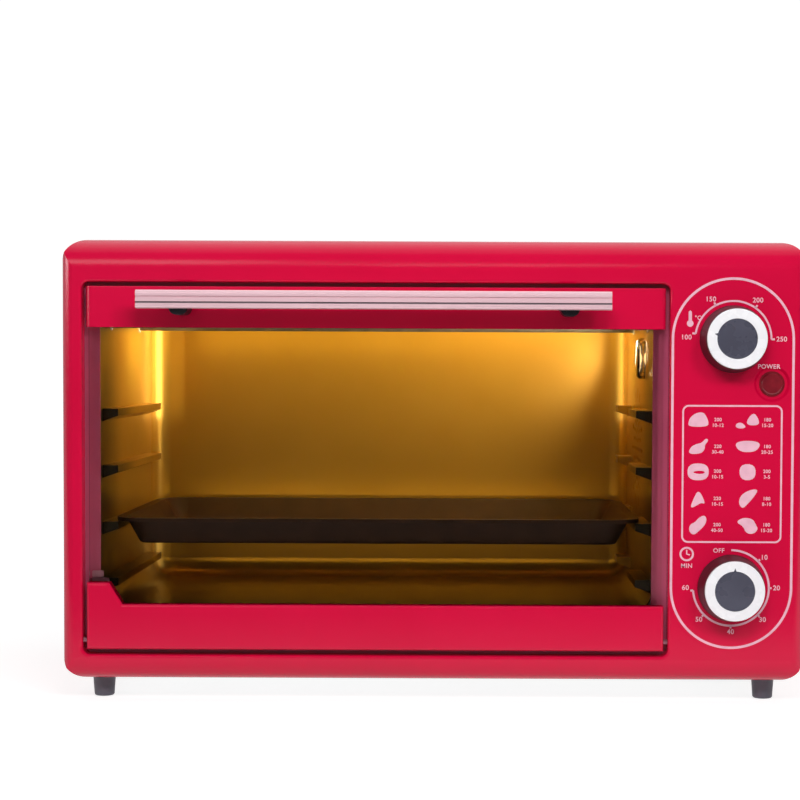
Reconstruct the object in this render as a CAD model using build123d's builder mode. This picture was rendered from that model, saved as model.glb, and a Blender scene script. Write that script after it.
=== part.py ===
"""A countertop convection toaster oven with a drop-down glass door and a column of controls on the right.

The front faces -Y and the oven stands on Z = 0, with the origin under the middle of its outer box.
Every y below is measured back from the face of the front panel, and every z up from the table.
"""

import os
from math import cos, hypot, pi, radians, sin, sqrt

from build123d import *

os.makedirs("parts", exist_ok=True)

# Outside of the body
panel_width = 515.0
panel_height = 306.2
foot_height = 15.5
body_depth = 298.0
handle_reach = 34.0
skin = 1.0
sheet_gap = 0.2
panel_corner = 17.0
top_roundover = 20.0
bottom_roundover = 16.0
side_roundover = 8.0
skirt_depth = 25.0

face_y = (handle_reach - body_depth) / 2
back_y = face_y + body_depth
panel_bottom = foot_height
panel_top = panel_bottom + panel_height
panel_mid = (panel_bottom + panel_top) / 2

# Door and its opening in the front panel
door_margin = 17.15
control_column = 97.35
door_rise = 21.7
door_drop = 32.7
door_proud = 1.0
door_thickness = 11.5
door_gap = 3.0
door_bottom_gap = 3.8
opening_corner = 5.0
jamb_depth = 13.0
opening_edge_radius = 2.0

door_left = door_margin - panel_width / 2
door_right = panel_width / 2 - control_column
door_x = (door_left + door_right) / 2
door_width = door_right - door_left
door_bottom = panel_bottom + door_rise
door_top = panel_top - door_drop
door_height = door_top - door_bottom
door_front = face_y - door_proud
door_back = door_front + door_thickness
opening_width = door_width + 2 * door_gap
opening_bottom = door_bottom - door_bottom_gap
opening_height = door_height + door_bottom_gap + door_gap
opening_mid = opening_bottom + opening_height / 2

# Door trims, glass and gaskets
trim_wall = 1.0
top_trim_height = 28.3
top_trim_corner = 4.0
bottom_trim_height = 31.4
step_height = 46.4
step_width = 15.5
step_slope = 9.4
trim_edge_radius = 0.8
trim_front_wall = 2.6
trim_front_radius = 2.2
trim_heel_radius = 1.5
glass_thickness = 4.0
glass_setback = 4.0
glass_side_gap = 1.3
glass_bottom_rise = 14.0
glass_top_drop = 15.0
gasket_height = 14.0
gasket_side_gap = 6.0
gasket_grip = 1.0
gasket_hinge_gap = 4.0
glass_corner = 2.0
glass_chamfer = 0.4

glass_front = door_front + glass_setback
glass_bottom = door_bottom + glass_bottom_rise
glass_top = door_top - glass_top_drop
glass_width = door_width - 2 * glass_side_gap

# Door handle
handle_end_gap = 39.5
handle_height = 12.6
handle_thickness = 9.0
handle_drop = 9.8
handle_edge = 2.5
handle_groove_width = 1.2
handle_groove_depth = 0.9
handle_groove_spacing = 3.7
handle_groove_drop = 0.3
post_inset = 27.7
post_width = 13.0
post_height = 14.4
post_drop = 4.0
post_edge = 5.0
handle_screw_radius = 2.0
handle_screw_head = 3.8
handle_screw_head_height = 2.4
handle_screw_head_play = 0.7
handle_screw_cover = 3.0
handle_screw_end_gap = 1.0

handle_length = door_width - 2 * handle_end_gap
handle_z = door_top - handle_drop
post_spacing = handle_length - 2 * post_inset
handle_front = face_y - handle_reach
handle_back = handle_front + handle_thickness

# Door hinge, along the bottom of the door
hinge_setback = 6.6
hinge_rise = 5.9
pin_radius = 2.0
pin_play = 0.05
hinge_block_width = 12.0
hinge_block_height = 9.0
hinge_block_depth = 7.6
bracket_thickness = 2.0
bracket_gap = 0.2
bracket_bore_margin = 1.0
bracket_boss_length = 5.0
bracket_boss_radius = 3.7
bracket_height = 26.0
bracket_rise = 3.0
left_pin_reach = 8.5
right_pin_reach = 24.0

hinge_y = door_front + hinge_setback
hinge_z = door_bottom + hinge_rise
opening_left = door_x - opening_width / 2
opening_right = door_x + opening_width / 2

# Door stay, an arc about the hinge behind the step in the bottom trim
stay_thickness = 2.0
stay_inset = 1.9
stay_inner = 34.0
stay_outer = 42.0
stay_stop_radius = 46.0
stay_stop_start_angle = 103.5
stay_stop_end_angle = 110.0
stay_foot_thickness = 1.2
stay_foot_width = 12.0
stay_foot_height = 10.0
stay_foot_corner = 1.0
stay_head_angle = 14.0
stay_slot_play = 1.0

stay_x = door_left + stay_inset

# Door spring, a torsion spring on the right hinge pin
spring_wire = 1.1
spring_turns = 6
spring_spacing = 1.5
spring_play = 0.4
spring_leg = 3.8
spring_offset = 8.0

# Cavity
liner = 0.8
cavity_inset = 7.25
cavity_rise = 26.0
cavity_drop = 8.3
cavity_back_gap = 35.0
cavity_corner = 15.0
cavity_back_radius = 14.0
back_pan_depth = 24.0
seam_inset = 24.0
frame_thickness = 1.0
frame_border = 7.5
mouth_side_lip = 0.5
mouth_bottom_lip = 1.5
mouth_top_lip = 14.0
mouth_corner = 6.0

cavity_width = door_width - 2 * cavity_inset
cavity_bottom = door_bottom + cavity_rise
cavity_top = door_top - cavity_drop
cavity_depth = body_depth - cavity_back_gap
cavity_left = door_x - cavity_width / 2
cavity_right = door_x + cavity_width / 2
cavity_height = cavity_top - cavity_bottom
cavity_mid = (cavity_top + cavity_bottom) / 2
frame_front = face_y + jamb_depth
frame_back = frame_front + frame_thickness
cavity_back = face_y + cavity_depth
pan_front = cavity_back - back_pan_depth
mouth_left = cavity_left + mouth_side_lip
mouth_right = cavity_right - mouth_side_lip
mouth_bottom = cavity_bottom + mouth_bottom_lip
mouth_top = cavity_top - mouth_top_lip

# Rails pressed into the side walls
tray_rail_share = 0.2805
rail_spacing_share = 0.183
rail_reach = 11.0
rail_tip = 5.0
rail_root = 9.0
rail_front_gap = 10.0
rail_back_gap = 10.0
fan_rail_break = 54.0

tray_rail_top = cavity_bottom + tray_rail_share * cavity_height
rail_spacing = rail_spacing_share * cavity_height
rail_tops = [tray_rail_top + rail_spacing * step for step in (-1, 0, 1, 2)]

# Baking tray
tray_side_gap = 7.0
tray_back_gap = 9.0
tray_depth = 18.0
tray_sheet = 0.8
tray_rim = 6.0
tray_rim_corner = 24.0
tray_lip = 2.6
tray_taper = 29.0
tray_front_gap = 8.0
tray_rail_gap = 0.1
tray_bend_radius = 3.0

tray_front = frame_back + tray_front_gap
tray_width = cavity_width - 2 * tray_side_gap
tray_length = cavity_back - tray_back_gap - tray_front
tray_mid_y = tray_front + tray_length / 2
tray_top = tray_rail_top + tray_rail_gap + tray_lip

# Heating elements
heater_radius = 3.2
heater_drop = 16.5
heater_sink = 19.5
heater_front_gap = 62.0
heater_rear_gap = 73.0
heater_end_radius = 0.6
heater_overhang = 6.0
insulator_radius = 4.8
insulator_collar = 6.6
insulator_collar_length = 4.0
insulator_play = 0.1
terminal_radius = 1.5
terminal_length = 6.0
terminal_tab = 5.0
terminal_tab_length = 2.0
terminal_tab_sheet = 0.8
reflector_inset = 17.0
reflector_depth = 37.0
reflector_corner = 8.0

heater_ys = (face_y + heater_front_gap, cavity_back - heater_rear_gap)
heater_z_upper = cavity_top - heater_drop
heater_z_lower = cavity_bottom - heater_sink
reflector_left = cavity_left + reflector_inset
reflector_right = cavity_right - reflector_inset
reflector_top = cavity_bottom - liner
reflector_front_gap = 3.0

# Convection fan on the right wall
fan_back_gap = 113.0
fan_radius = 40.0
fan_blades = 10
fan_blade_height = 10.0
fan_blade_start = 14.0
fan_sheet = 0.9
fan_wall_gap = 4.0
fan_hub_radius = 7.0
fan_hub_length = 11.0
fan_blade_inset = 1.0
fan_shaft_end = 2.0
fan_shaft_chamfer = 0.4
fan_shaft_radius = 3.0
housing_radius = 48.0
housing_depth = 24.0
housing_flange = 7.0
housing_edge = 5.0
housing_shaft_play = 1.0
motor_width = 56.0
motor_stack = 24.0
motor_gap = 8.0
motor_bearing_radius = 9.0
coil_length = 34.0
coil_height = 22.0
coil_gap = 1.0
coil_overhang = 5.0
coil_corner = 4.0
motor_corner = 5.0
motor_pillar_radius = 3.0
motor_pillar_inset = 5.5
intake_hole_radius = 1.7
intake_hole_spacing = 7.5
intake_rings = 4
exhaust_ring = 42.0
exhaust_slots = 16
exhaust_slot_length = 9.0
exhaust_slot_width = 2.6

fan_y = cavity_back - fan_back_gap
fan_z = cavity_mid
right_wall_outside = cavity_right + liner

# Oven lamp on the right wall
lamp_setback = 92.0
lamp_drop = 40.0
lamp_lens_radius = 15.0
lamp_lens_flange = 17.5
lamp_lens_dome = 6.0
lamp_lens_edge = 4.0
lamp_cover_rim = 2.0
lamp_cover_wall = 2.0
lamp_bulb_radius = 9.0
lamp_neck_radius = 6.5
lamp_bulb_length = 29.5
lamp_socket_radius = 15.5
lamp_socket_length = 34.0
lamp_socket_edge = 3.0
lamp_bulb_play = 1.5

lamp_y = face_y + lamp_setback
lamp_z = cavity_top - lamp_drop

# Controls
dial_inset = 50.8
temperature_drop = 67.5
timer_rise = 66.3
knob_base_radius = 23.3
knob_front_radius = 20.9
knob_height = 20.0
knob_gap = 0.8
knob_wall = 3.0
knob_boss_radius = 7.0
knob_taper = 6.84
ring_radius = 20.6
ring_height = 2.5
ring_edge = 0.8
cap_radius = 13.7
cap_height = 1.8
cap_play = 0.1
pointer_reach = 15.9
pointer_half_root = 6.6
temperature_pointer = 168.0
timer_pointer = 90.0
shaft_radius = 3.0
shaft_play = 0.08
shaft_flat = 1.6
shaft_in_knob = 14.0
shaft_in_case = 9.0
shaft_end_gap = 0.5
panel_hole_radius = 5.0
bracket_sheet = 1.2
bracket_width = 78.0
bracket_reach = 26.0
control_screw_reach = 14.0
control_screw_length = 6.0
timer_size = 48.0
timer_depth = 32.0
timer_corner = 5.0
bell_pillar_radius = 3.0
bell_pillar_length = 2.0
thermostat_width = 38.0
thermostat_height = 34.0
thermostat_depth = 24.0
thermostat_corner = 3.0
thermostat_tab_spacing = 22.0
thermostat_tab_width = 6.3
thermostat_tab_sheet = 0.8
thermostat_tab_length = 8.0
bell_radius = 19.0
bell_depth = 7.0
bell_sheet = 1.2
bell_edge = 3.0
bracket_corner = 4.0
bracket_dimple_gap = 1.0
heat_shield_gap = 11.85
heat_shield_depth = 60.0
heat_shield_front_gap = 2.0
heat_shield_flange = 12.0
heat_shield_top_gap = 8.0
heat_shield_sheet = 1.0

# Indicator lamp
indicator_inset = 23.6
indicator_drop = 30.8
dimple_radius = 12.5
dimple_depth = 2.2
dimple_taper = 38.0
lens_radius = 7.6
lens_proud = 2.4
lens_flange = 1.2
lens_length = 9.0
lens_flange_thickness = 0.8
lens_edge = 1.4
lens_wall = 2.0
lens_front = 1.0
neon_radius = 3.0
neon_length = 5.0
holder_length = 9.0
holder_past = 1.0

# Casing, base, feet and fasteners
wrap_overlap = 5.0
wrap_flange = 14.0
base_flange = 32.0
base_screw_inset = 6.0
rear_screw_head = 1.8
foot_inset = 23.5
foot_front_inset = 34.5
foot_back_inset = 36.0
foot_top_radius = 8.2
foot_taper = 4.2
foot_edge = 1.5
foot_recess_radius = 4.0
foot_recess_depth = 6.0
screw_radius = 1.8
screw_head_radius = 3.6
screw_length = 6.0
screw_play = 0.2
screw_slot_length = 4.0
screw_slot_width = 0.9
foot_screw_past = 4.0
base_corner = 4.0
base_screw_spread = 0.3
vent_length = 26.0
vent_width = 3.0
vent_spacing = 8.0
vent_row_spacing = 36.0
vent_columns = 10
vent_rows = 2
vent_back_gap = 46.0
vent_drop = 91.8
back_vent_columns = 18
back_vent_drop = 71.8
base_vent_columns = 5
base_vent_rows = 3

wrap_front = face_y + skirt_depth - wrap_overlap
back_plate_y = back_y - rear_screw_head - skin
wrap_half = panel_width / 2 - skin - sheet_gap
wrap_top = panel_top - skin - sheet_gap
base_bottom = panel_bottom + skin + sheet_gap
wrap_bottom = base_bottom + skin
wrap_mid = (wrap_bottom + wrap_top) / 2
wrap_corner = panel_corner - skin - sheet_gap

dial_x = panel_width / 2 - dial_inset
temperature_z = panel_top - temperature_drop
timer_z = panel_bottom + timer_rise
indicator_x = panel_width / 2 - indicator_inset
indicator_z = temperature_z - indicator_drop
heat_shield_x = door_right + heat_shield_gap
foot_x = panel_width / 2 - foot_inset
foot_front_y = face_y + foot_front_inset
foot_back_y = back_y - foot_back_inset
foot_places = [(x, y) for x in (-foot_x, foot_x) for y in (foot_front_y, foot_back_y)]

bracket_front = face_y + skin
bracket_back = bracket_front + bracket_sheet
bracket_low = timer_z - bracket_reach
bracket_high = temperature_z + bracket_reach
control_screw_places = [
    (dial_x + side * control_screw_reach, z) for z in (temperature_z, timer_z) for side in (-1, 1)
]

# Supply cord inlet in the back
inlet_inset = 43.5
inlet_rise = 49.2
inlet_radius = 3.6
grommet_radius = 6.5
grommet_flange = 9.0
grommet_flange_thickness = 2.5
grommet_inner_length = 7.0
grommet_head_gap = 0.1

inlet_x = panel_width / 2 - inlet_inset
inlet_z = panel_bottom + inlet_rise

# Terminal block on the base, in front of the cord inlet
block_size = (44.0, 20.0, 18.0)
block_back_gap = 50.0
block_offset = 8.0
block_corner = 2.0
block_hole_radius = 2.6
block_hole_depth = 7.0
block_hole_spacing = (14.0, 10.0)


def at_y(y):
    """Sketch plane that looks along +Y, with X to the right and Z up."""
    return Plane.XZ.offset(-y)


def at_x(x):
    """Sketch plane across X, with Y to the right and Z up."""
    return Plane.YZ.offset(x)


def at_z(z):
    """Sketch plane at a height above the table."""
    return Plane.XY.offset(z)


def write(builder, label):
    """Names a finished piece and writes it."""
    builder.part.label = label
    export_step(builder.part, f"parts/{label}.step")


def panel_blank(inset):
    """Solid of the front panel's outline, drawn in by inset on every side."""
    width = panel_width - 2 * inset
    height = panel_height - 2 * inset
    middle_y = face_y + inset + skirt_depth / 2
    with BuildPart() as blank:
        with BuildSketch(at_y(face_y + inset)):
            with Locations((0, panel_mid)):
                RectangleRounded(width, height, panel_corner - inset)
        extrude(amount=-skirt_depth)
        with BuildSketch(at_x(-panel_width / 2)) as side:
            with Locations((middle_y, panel_mid)):
                Rectangle(skirt_depth, height)
            fillet(side.vertices().group_by(Axis.X)[0].sort_by(Axis.Y)[-1], top_roundover - inset)
            fillet(side.vertices().group_by(Axis.X)[0].sort_by(Axis.Y)[0], bottom_roundover - inset)
        extrude(amount=panel_width, mode=Mode.INTERSECT)
        with BuildSketch(at_z(panel_bottom)) as plan:
            with Locations((0, middle_y)):
                Rectangle(width, skirt_depth)
            fillet(plan.vertices().group_by(Axis.Y)[0], side_roundover - inset)
        extrude(amount=panel_height, mode=Mode.INTERSECT)
    return blank.part


# Front panel, a pressed pan with a return flange round the door
panel_outside = panel_blank(0)
panel_inside = panel_blank(skin)
with BuildPart() as front_panel:
    add(panel_outside)
    add(panel_inside, mode=Mode.SUBTRACT)
    with BuildSketch(at_y(face_y)):
        with Locations((door_x, opening_mid)):
            RectangleRounded(opening_width + 2 * skin, opening_height + 2 * skin, opening_corner + skin)
    extrude(amount=-jamb_depth)
    with BuildSketch(at_y(face_y)):
        with Locations((door_x, opening_mid)):
            RectangleRounded(opening_width, opening_height, opening_corner)
    extrude(amount=-jamb_depth, mode=Mode.SUBTRACT)
    opening_edges = front_panel.faces().sort_by(Axis.Y)[0].inner_wires()[0].edges()
    fillet(opening_edges, opening_edge_radius)
    with BuildSketch(at_y(face_y + skin / 2)):
        with Locations((indicator_x, indicator_z)):
            Circle(dimple_radius + skin)
    extrude(amount=-(dimple_depth + skin / 2))
    with BuildSketch(at_y(face_y)):
        with Locations((indicator_x, indicator_z)):
            Circle(dimple_radius)
    extrude(amount=-dimple_depth, taper=dimple_taper, mode=Mode.SUBTRACT)
    with BuildSketch(at_y(face_y)):
        with Locations((indicator_x, indicator_z)):
            Circle(lens_radius + screw_play)
        with Locations((dial_x, temperature_z), (dial_x, timer_z)):
            Circle(panel_hole_radius)
        with Locations(*control_screw_places):
            Circle(screw_radius + screw_play)
    extrude(amount=-(dimple_depth + 2 * skin), mode=Mode.SUBTRACT)
    with BuildSketch(at_x(opening_left - 2 * skin)):
        with Locations((hinge_y, hinge_z)):
            Circle(pin_radius + screw_play)
    extrude(amount=opening_width + 4 * skin, mode=Mode.SUBTRACT)
write(front_panel, "front_panel")

# Front frame, the flat rebate that the door closes against
frame_left = opening_left - frame_border
frame_right = opening_right + frame_border
frame_low = opening_bottom - frame_border
frame_high = opening_bottom + opening_height + frame_border
slot_low = hinge_z + sqrt(stay_inner**2 - (frame_back - hinge_y) ** 2) - stay_slot_play
slot_high = hinge_z + sqrt(stay_outer**2 - (frame_front - hinge_y) ** 2) + stay_slot_play
with BuildPart() as front_frame:
    with BuildSketch(at_y(frame_front)):
        with Locations(((frame_left + frame_right) / 2, (frame_low + frame_high) / 2)):
            Rectangle(frame_right - frame_left, frame_high - frame_low)
        with Locations((door_x, (mouth_bottom + mouth_top) / 2)):
            RectangleRounded(
                mouth_right - mouth_left,
                mouth_top - mouth_bottom,
                mouth_corner,
                mode=Mode.SUBTRACT,
            )
        with Locations((stay_x + stay_thickness / 2, (slot_low + slot_high) / 2)):
            Rectangle(
                stay_thickness + 2 * stay_slot_play,
                slot_high - slot_low,
                mode=Mode.SUBTRACT,
            )
    extrude(amount=-frame_thickness)
write(front_frame, "front_frame")

# Stay guide, a bent strip over the top of the stay's slot
guide_width = 8.0
guide_height = 4.4
guide_gap = 1.0
guide_thickness = 0.9
guide_corner = 0.8
with BuildPart() as stay_guide:
    with BuildSketch(at_y(frame_front)):
        with Locations((stay_x + guide_width / 2, slot_high + guide_gap + guide_height / 2)):
            RectangleRounded(guide_width, guide_height, guide_corner)
    extrude(amount=guide_thickness)
write(stay_guide, "stay_guide")

# Casing, one sheet over the top and down both sides, turned in at the bottom and the back
wrap_height = wrap_top - wrap_bottom
wrap_length = back_plate_y - wrap_front
vent_back = back_plate_y - vent_back_gap
vent_mid_z = wrap_top - vent_drop
base_half = wrap_half - wrap_corner
base_screw_x = base_half - base_screw_inset
base_screw_y = wrap_length * base_screw_spread
with BuildPart() as outer_wrap:
    with BuildSketch(at_y(wrap_front)):
        with Locations((0, wrap_mid)):
            RectangleRounded(2 * wrap_half, wrap_height, wrap_corner)
            RectangleRounded(
                2 * (wrap_half - skin),
                wrap_height - 2 * skin,
                wrap_corner - skin,
                mode=Mode.SUBTRACT,
            )
        with Locations((0, wrap_bottom)):
            Rectangle(2 * (wrap_half - base_flange), 4 * skin, mode=Mode.SUBTRACT)
    extrude(amount=-wrap_length)
    with BuildSketch(at_y(back_plate_y)):
        with Locations((0, wrap_mid)):
            RectangleRounded(2 * wrap_half, wrap_height, wrap_corner)
            Rectangle(
                2 * (wrap_half - wrap_flange),
                wrap_height - 2 * wrap_flange,
                mode=Mode.SUBTRACT,
            )
    extrude(amount=skin)
    with BuildSketch(at_x(-wrap_half)):
        with Locations((vent_back - vent_columns * vent_spacing / 2, vent_mid_z)):
            with GridLocations(vent_spacing, vent_row_spacing, vent_columns, vent_rows):
                SlotOverall(vent_length, vent_width, rotation=90)
    extrude(amount=2 * wrap_half, mode=Mode.SUBTRACT)
    with BuildSketch(at_y(back_plate_y)):
        with Locations((0, wrap_mid)):
            with GridLocations(2 * wrap_half - wrap_flange, wrap_height - wrap_flange, 2, 2):
                Circle(screw_radius + screw_play)
    extrude(amount=2 * skin, mode=Mode.SUBTRACT)
    with BuildSketch(at_z(wrap_bottom)):
        with Locations((0, (wrap_front + back_plate_y) / 2)):
            with GridLocations(2 * base_screw_x, 2 * base_screw_y, 2, 2):
                Circle(screw_radius + screw_play)
        with Locations(*foot_places):
            Circle(screw_radius + screw_play)
    extrude(amount=2 * skin, mode=Mode.SUBTRACT)
write(outer_wrap, "outer_wrap")

# Back plate, with vents and the hole for the supply cord
back_vent_z = wrap_top - back_vent_drop
with BuildPart() as back_panel:
    with BuildSketch(at_y(back_plate_y)):
        with Locations((0, wrap_mid)):
            RectangleRounded(2 * wrap_half, wrap_height, wrap_corner)
        with Locations((0, back_vent_z)):
            with GridLocations(2 * vent_spacing, vent_row_spacing, back_vent_columns, 2):
                SlotOverall(vent_length, vent_width, rotation=90, mode=Mode.SUBTRACT)
        with Locations((inlet_x, inlet_z)):
            Circle(grommet_radius, mode=Mode.SUBTRACT)
        with Locations((0, wrap_mid)):
            with GridLocations(2 * wrap_half - wrap_flange, wrap_height - wrap_flange, 2, 2):
                Circle(screw_radius + screw_play, mode=Mode.SUBTRACT)
    extrude(amount=-skin)
write(back_panel, "back_panel")

# Base plate, with the feet's holes and a field of vents under the controls
with BuildPart() as base_plate:
    with BuildSketch(at_z(base_bottom)):
        with Locations((0, (wrap_front + back_plate_y) / 2)):
            RectangleRounded(2 * base_half, wrap_length, base_corner)
        with Locations(*foot_places):
            Circle(screw_radius + screw_play, mode=Mode.SUBTRACT)
        with Locations((0, (wrap_front + back_plate_y) / 2)):
            with GridLocations(2 * base_screw_x, 2 * base_screw_y, 2, 2):
                Circle(screw_radius + screw_play, mode=Mode.SUBTRACT)
        with Locations((dial_x, fan_y)):
            with GridLocations(vent_spacing, vent_row_spacing, base_vent_columns, base_vent_rows):
                SlotOverall(vent_length, vent_width, rotation=90, mode=Mode.SUBTRACT)
    extrude(amount=skin)
write(base_plate, "base_plate")

# Feet, with a recess for the screw
with BuildPart() as feet:
    with BuildSketch(at_z(base_bottom)):
        with Locations(*foot_places):
            Circle(foot_top_radius)
    extrude(amount=-base_bottom, taper=foot_taper)
    fillet(feet.faces().group_by(Axis.Z)[0].edges(), foot_edge)
    with BuildSketch(at_z(0)):
        with Locations(*foot_places):
            Circle(foot_recess_radius)
    extrude(amount=foot_recess_depth, mode=Mode.SUBTRACT)
    with BuildSketch(at_z(0)):
        with Locations(*foot_places):
            Circle(screw_radius + screw_play)
    extrude(amount=base_bottom, mode=Mode.SUBTRACT)
write(feet, "feet")


def screws(plane, places, shank):
    """Pan-head screws, with the head's underside on plane and the shank going in against its normal."""
    with BuildPart() as made:
        with BuildSketch(plane):
            with Locations(*places):
                Circle(screw_head_radius)
        extrude(amount=rear_screw_head)
        with BuildSketch(plane):
            with Locations(*places):
                Circle(screw_radius)
        extrude(amount=-shank)
        with BuildSketch(plane.offset(rear_screw_head)):
            with Locations(*places):
                Rectangle(screw_slot_length, screw_slot_width)
                Rectangle(screw_slot_width, screw_slot_length)
        extrude(amount=-screw_slot_width, mode=Mode.SUBTRACT)
    return made.part


# Screws through the feet
foot_screw_shank = base_bottom + skin - foot_recess_depth + foot_screw_past
foot_screw_plane = Plane(origin=(0, 0, foot_recess_depth), x_dir=(1, 0, 0), z_dir=(0, 0, -1))
foot_screw_places = [(x, -y) for x, y in foot_places]
with BuildPart() as foot_screws:
    add(screws(foot_screw_plane, foot_screw_places, foot_screw_shank))
write(foot_screws, "foot_screws")

# Screws that hold the back plate and the base plate to the casing
rear_screw_x = wrap_half - wrap_flange / 2
rear_screw_z = (wrap_height - wrap_flange) / 2
base_mid_y = (wrap_front + back_plate_y) / 2
rear_plane = Plane(origin=(0, back_plate_y + skin, wrap_mid), x_dir=(1, 0, 0), z_dir=(0, 1, 0))
under_plane = Plane(origin=(0, base_mid_y, base_bottom), x_dir=(1, 0, 0), z_dir=(0, 0, -1))
rear_screw_places = [
    (x, z) for x in (-rear_screw_x, rear_screw_x) for z in (-rear_screw_z, rear_screw_z)
]
base_screw_places = [
    (x, y) for x in (-base_screw_x, base_screw_x) for y in (-base_screw_y, base_screw_y)
]
with BuildPart() as casing_screws:
    add(screws(rear_plane, rear_screw_places, screw_length))
    add(screws(under_plane, base_screw_places, screw_length))
write(casing_screws, "casing_screws")

# Cord grommet, the gland in the back plate
with BuildPart() as cord_grommet:
    with BuildSketch(at_y(back_plate_y + skin)):
        with Locations((inlet_x, inlet_z)):
            Circle(grommet_flange)
    extrude(amount=-(rear_screw_head - grommet_head_gap))
    with BuildSketch(at_y(back_plate_y + skin)):
        with Locations((inlet_x, inlet_z)):
            Circle(grommet_radius)
    extrude(amount=skin)
    with BuildSketch(at_y(back_plate_y)):
        with Locations((inlet_x, inlet_z)):
            Circle(grommet_flange)
    extrude(amount=grommet_inner_length)
    with BuildSketch(at_y(back_y)):
        with Locations((inlet_x, inlet_z)):
            Circle(inlet_radius)
    extrude(amount=skin + rear_screw_head + grommet_inner_length, mode=Mode.SUBTRACT)
write(cord_grommet, "cord_grommet")


def liner_ring(y, length):
    """Rounded tube of the cavity's walls, from y towards the back."""
    with BuildPart() as ring:
        with BuildSketch(at_y(y)):
            with Locations((door_x, cavity_mid)):
                RectangleRounded(
                    cavity_width + 2 * liner,
                    cavity_height + 2 * liner,
                    cavity_corner + liner,
                )
                RectangleRounded(cavity_width, cavity_height, cavity_corner, mode=Mode.SUBTRACT)
        extrude(amount=-length)
    return ring.part


tube_length = pan_front - frame_back
tube_mid_y = (pan_front + frame_back) / 2
liner_tube = liner_ring(frame_back, tube_length)
side_wall_width = 2 * (seam_inset + liner)
middle_width = cavity_width - 2 * seam_inset
heater_places = [(y, heater_z_upper) for y in heater_ys]


def rails(wall_x, inward, spans, shrink):
    """The rails on the wall at wall_x over the given spans of y, drawn in by shrink for their hollows."""
    root = wall_x - inward * liner * (2 if shrink else 0.5)
    tip = wall_x + inward * (rail_reach - shrink)
    with BuildPart() as made:
        for start, end in spans:
            with BuildSketch(at_y(start + shrink)):
                for top in rail_tops:
                    Polygon(
                        (root, top - shrink),
                        (tip, top - shrink),
                        (tip, top - rail_tip + shrink),
                        (root, top - rail_root + shrink),
                        align=None,
                    )
            extrude(amount=-(end - start - 2 * shrink))
    return made.part


rail_spans = [(frame_back + rail_front_gap, pan_front - rail_back_gap)]
rail_spans_by_fan = [
    (frame_back + rail_front_gap, fan_y - fan_rail_break),
    (fan_y + fan_rail_break, pan_front - rail_back_gap),
]


# Left wall of the cavity
with BuildPart() as cavity_left_wall:
    add(liner_tube)
    with Locations((cavity_left - liner, tube_mid_y, cavity_mid)):
        Box(side_wall_width, tube_length, 2 * cavity_height, mode=Mode.INTERSECT)
    add(rails(cavity_left, 1, rail_spans, 0))
    add(rails(cavity_left, 1, rail_spans, liner), mode=Mode.SUBTRACT)
    with BuildSketch(at_x(cavity_left - 2 * liner)):
        with Locations(*heater_places):
            Circle(insulator_radius + insulator_play)
    extrude(amount=4 * liner, mode=Mode.SUBTRACT)
write(cavity_left_wall, "cavity_left_wall")

# Right wall of the cavity, perforated for the fan and open for the lamp
with BuildPart() as cavity_right_wall:
    add(liner_tube)
    with Locations((cavity_right + liner, tube_mid_y, cavity_mid)):
        Box(side_wall_width, tube_length, 2 * cavity_height, mode=Mode.INTERSECT)
    add(rails(cavity_right, -1, rail_spans_by_fan, 0))
    add(rails(cavity_right, -1, rail_spans_by_fan, liner), mode=Mode.SUBTRACT)
    with BuildSketch(at_x(cavity_right - liner)):
        with Locations(*heater_places):
            Circle(insulator_radius + insulator_play)
        with Locations((lamp_y, lamp_z)):
            Circle(lamp_lens_radius + insulator_play)
        with Locations((fan_y, fan_z)):
            Circle(intake_hole_radius)
            for ring in range(1, intake_rings + 1):
                with PolarLocations(ring * intake_hole_spacing, 6 * ring):
                    Circle(intake_hole_radius)
            with PolarLocations(exhaust_ring, exhaust_slots):
                SlotOverall(exhaust_slot_length, exhaust_slot_width)
    extrude(amount=3 * liner, mode=Mode.SUBTRACT)
write(cavity_right_wall, "cavity_right_wall")

# Ceiling and floor of the cavity
with BuildPart() as cavity_ceiling:
    add(liner_tube)
    with Locations((door_x, tube_mid_y, cavity_top)):
        Box(middle_width, tube_length, cavity_height, mode=Mode.INTERSECT)
write(cavity_ceiling, "cavity_ceiling")

with BuildPart() as cavity_floor:
    add(liner_tube)
    with Locations((door_x, tube_mid_y, cavity_bottom)):
        Box(middle_width, tube_length, cavity_height, mode=Mode.INTERSECT)
write(cavity_floor, "cavity_floor")

# Back wall of the cavity, a pan with rounded edges that closes the tube
with BuildPart() as cavity_back_wall:
    with BuildSketch(at_y(pan_front)):
        with Locations((door_x, cavity_mid)):
            RectangleRounded(
                cavity_width + 2 * liner, cavity_height + 2 * liner, cavity_corner + liner
            )
    extrude(amount=-(back_pan_depth + liner))
    fillet(cavity_back_wall.faces().sort_by(Axis.Y)[-1].edges(), cavity_back_radius + liner)
    with BuildPart(mode=Mode.PRIVATE) as pan_inside:
        with BuildSketch(at_y(pan_front)):
            with Locations((door_x, cavity_mid)):
                RectangleRounded(cavity_width, cavity_height, cavity_corner)
        extrude(amount=-back_pan_depth)
        fillet(pan_inside.faces().sort_by(Axis.Y)[-1].edges(), cavity_back_radius)
    add(pan_inside.part, mode=Mode.SUBTRACT)
write(cavity_back_wall, "cavity_back_wall")

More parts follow.
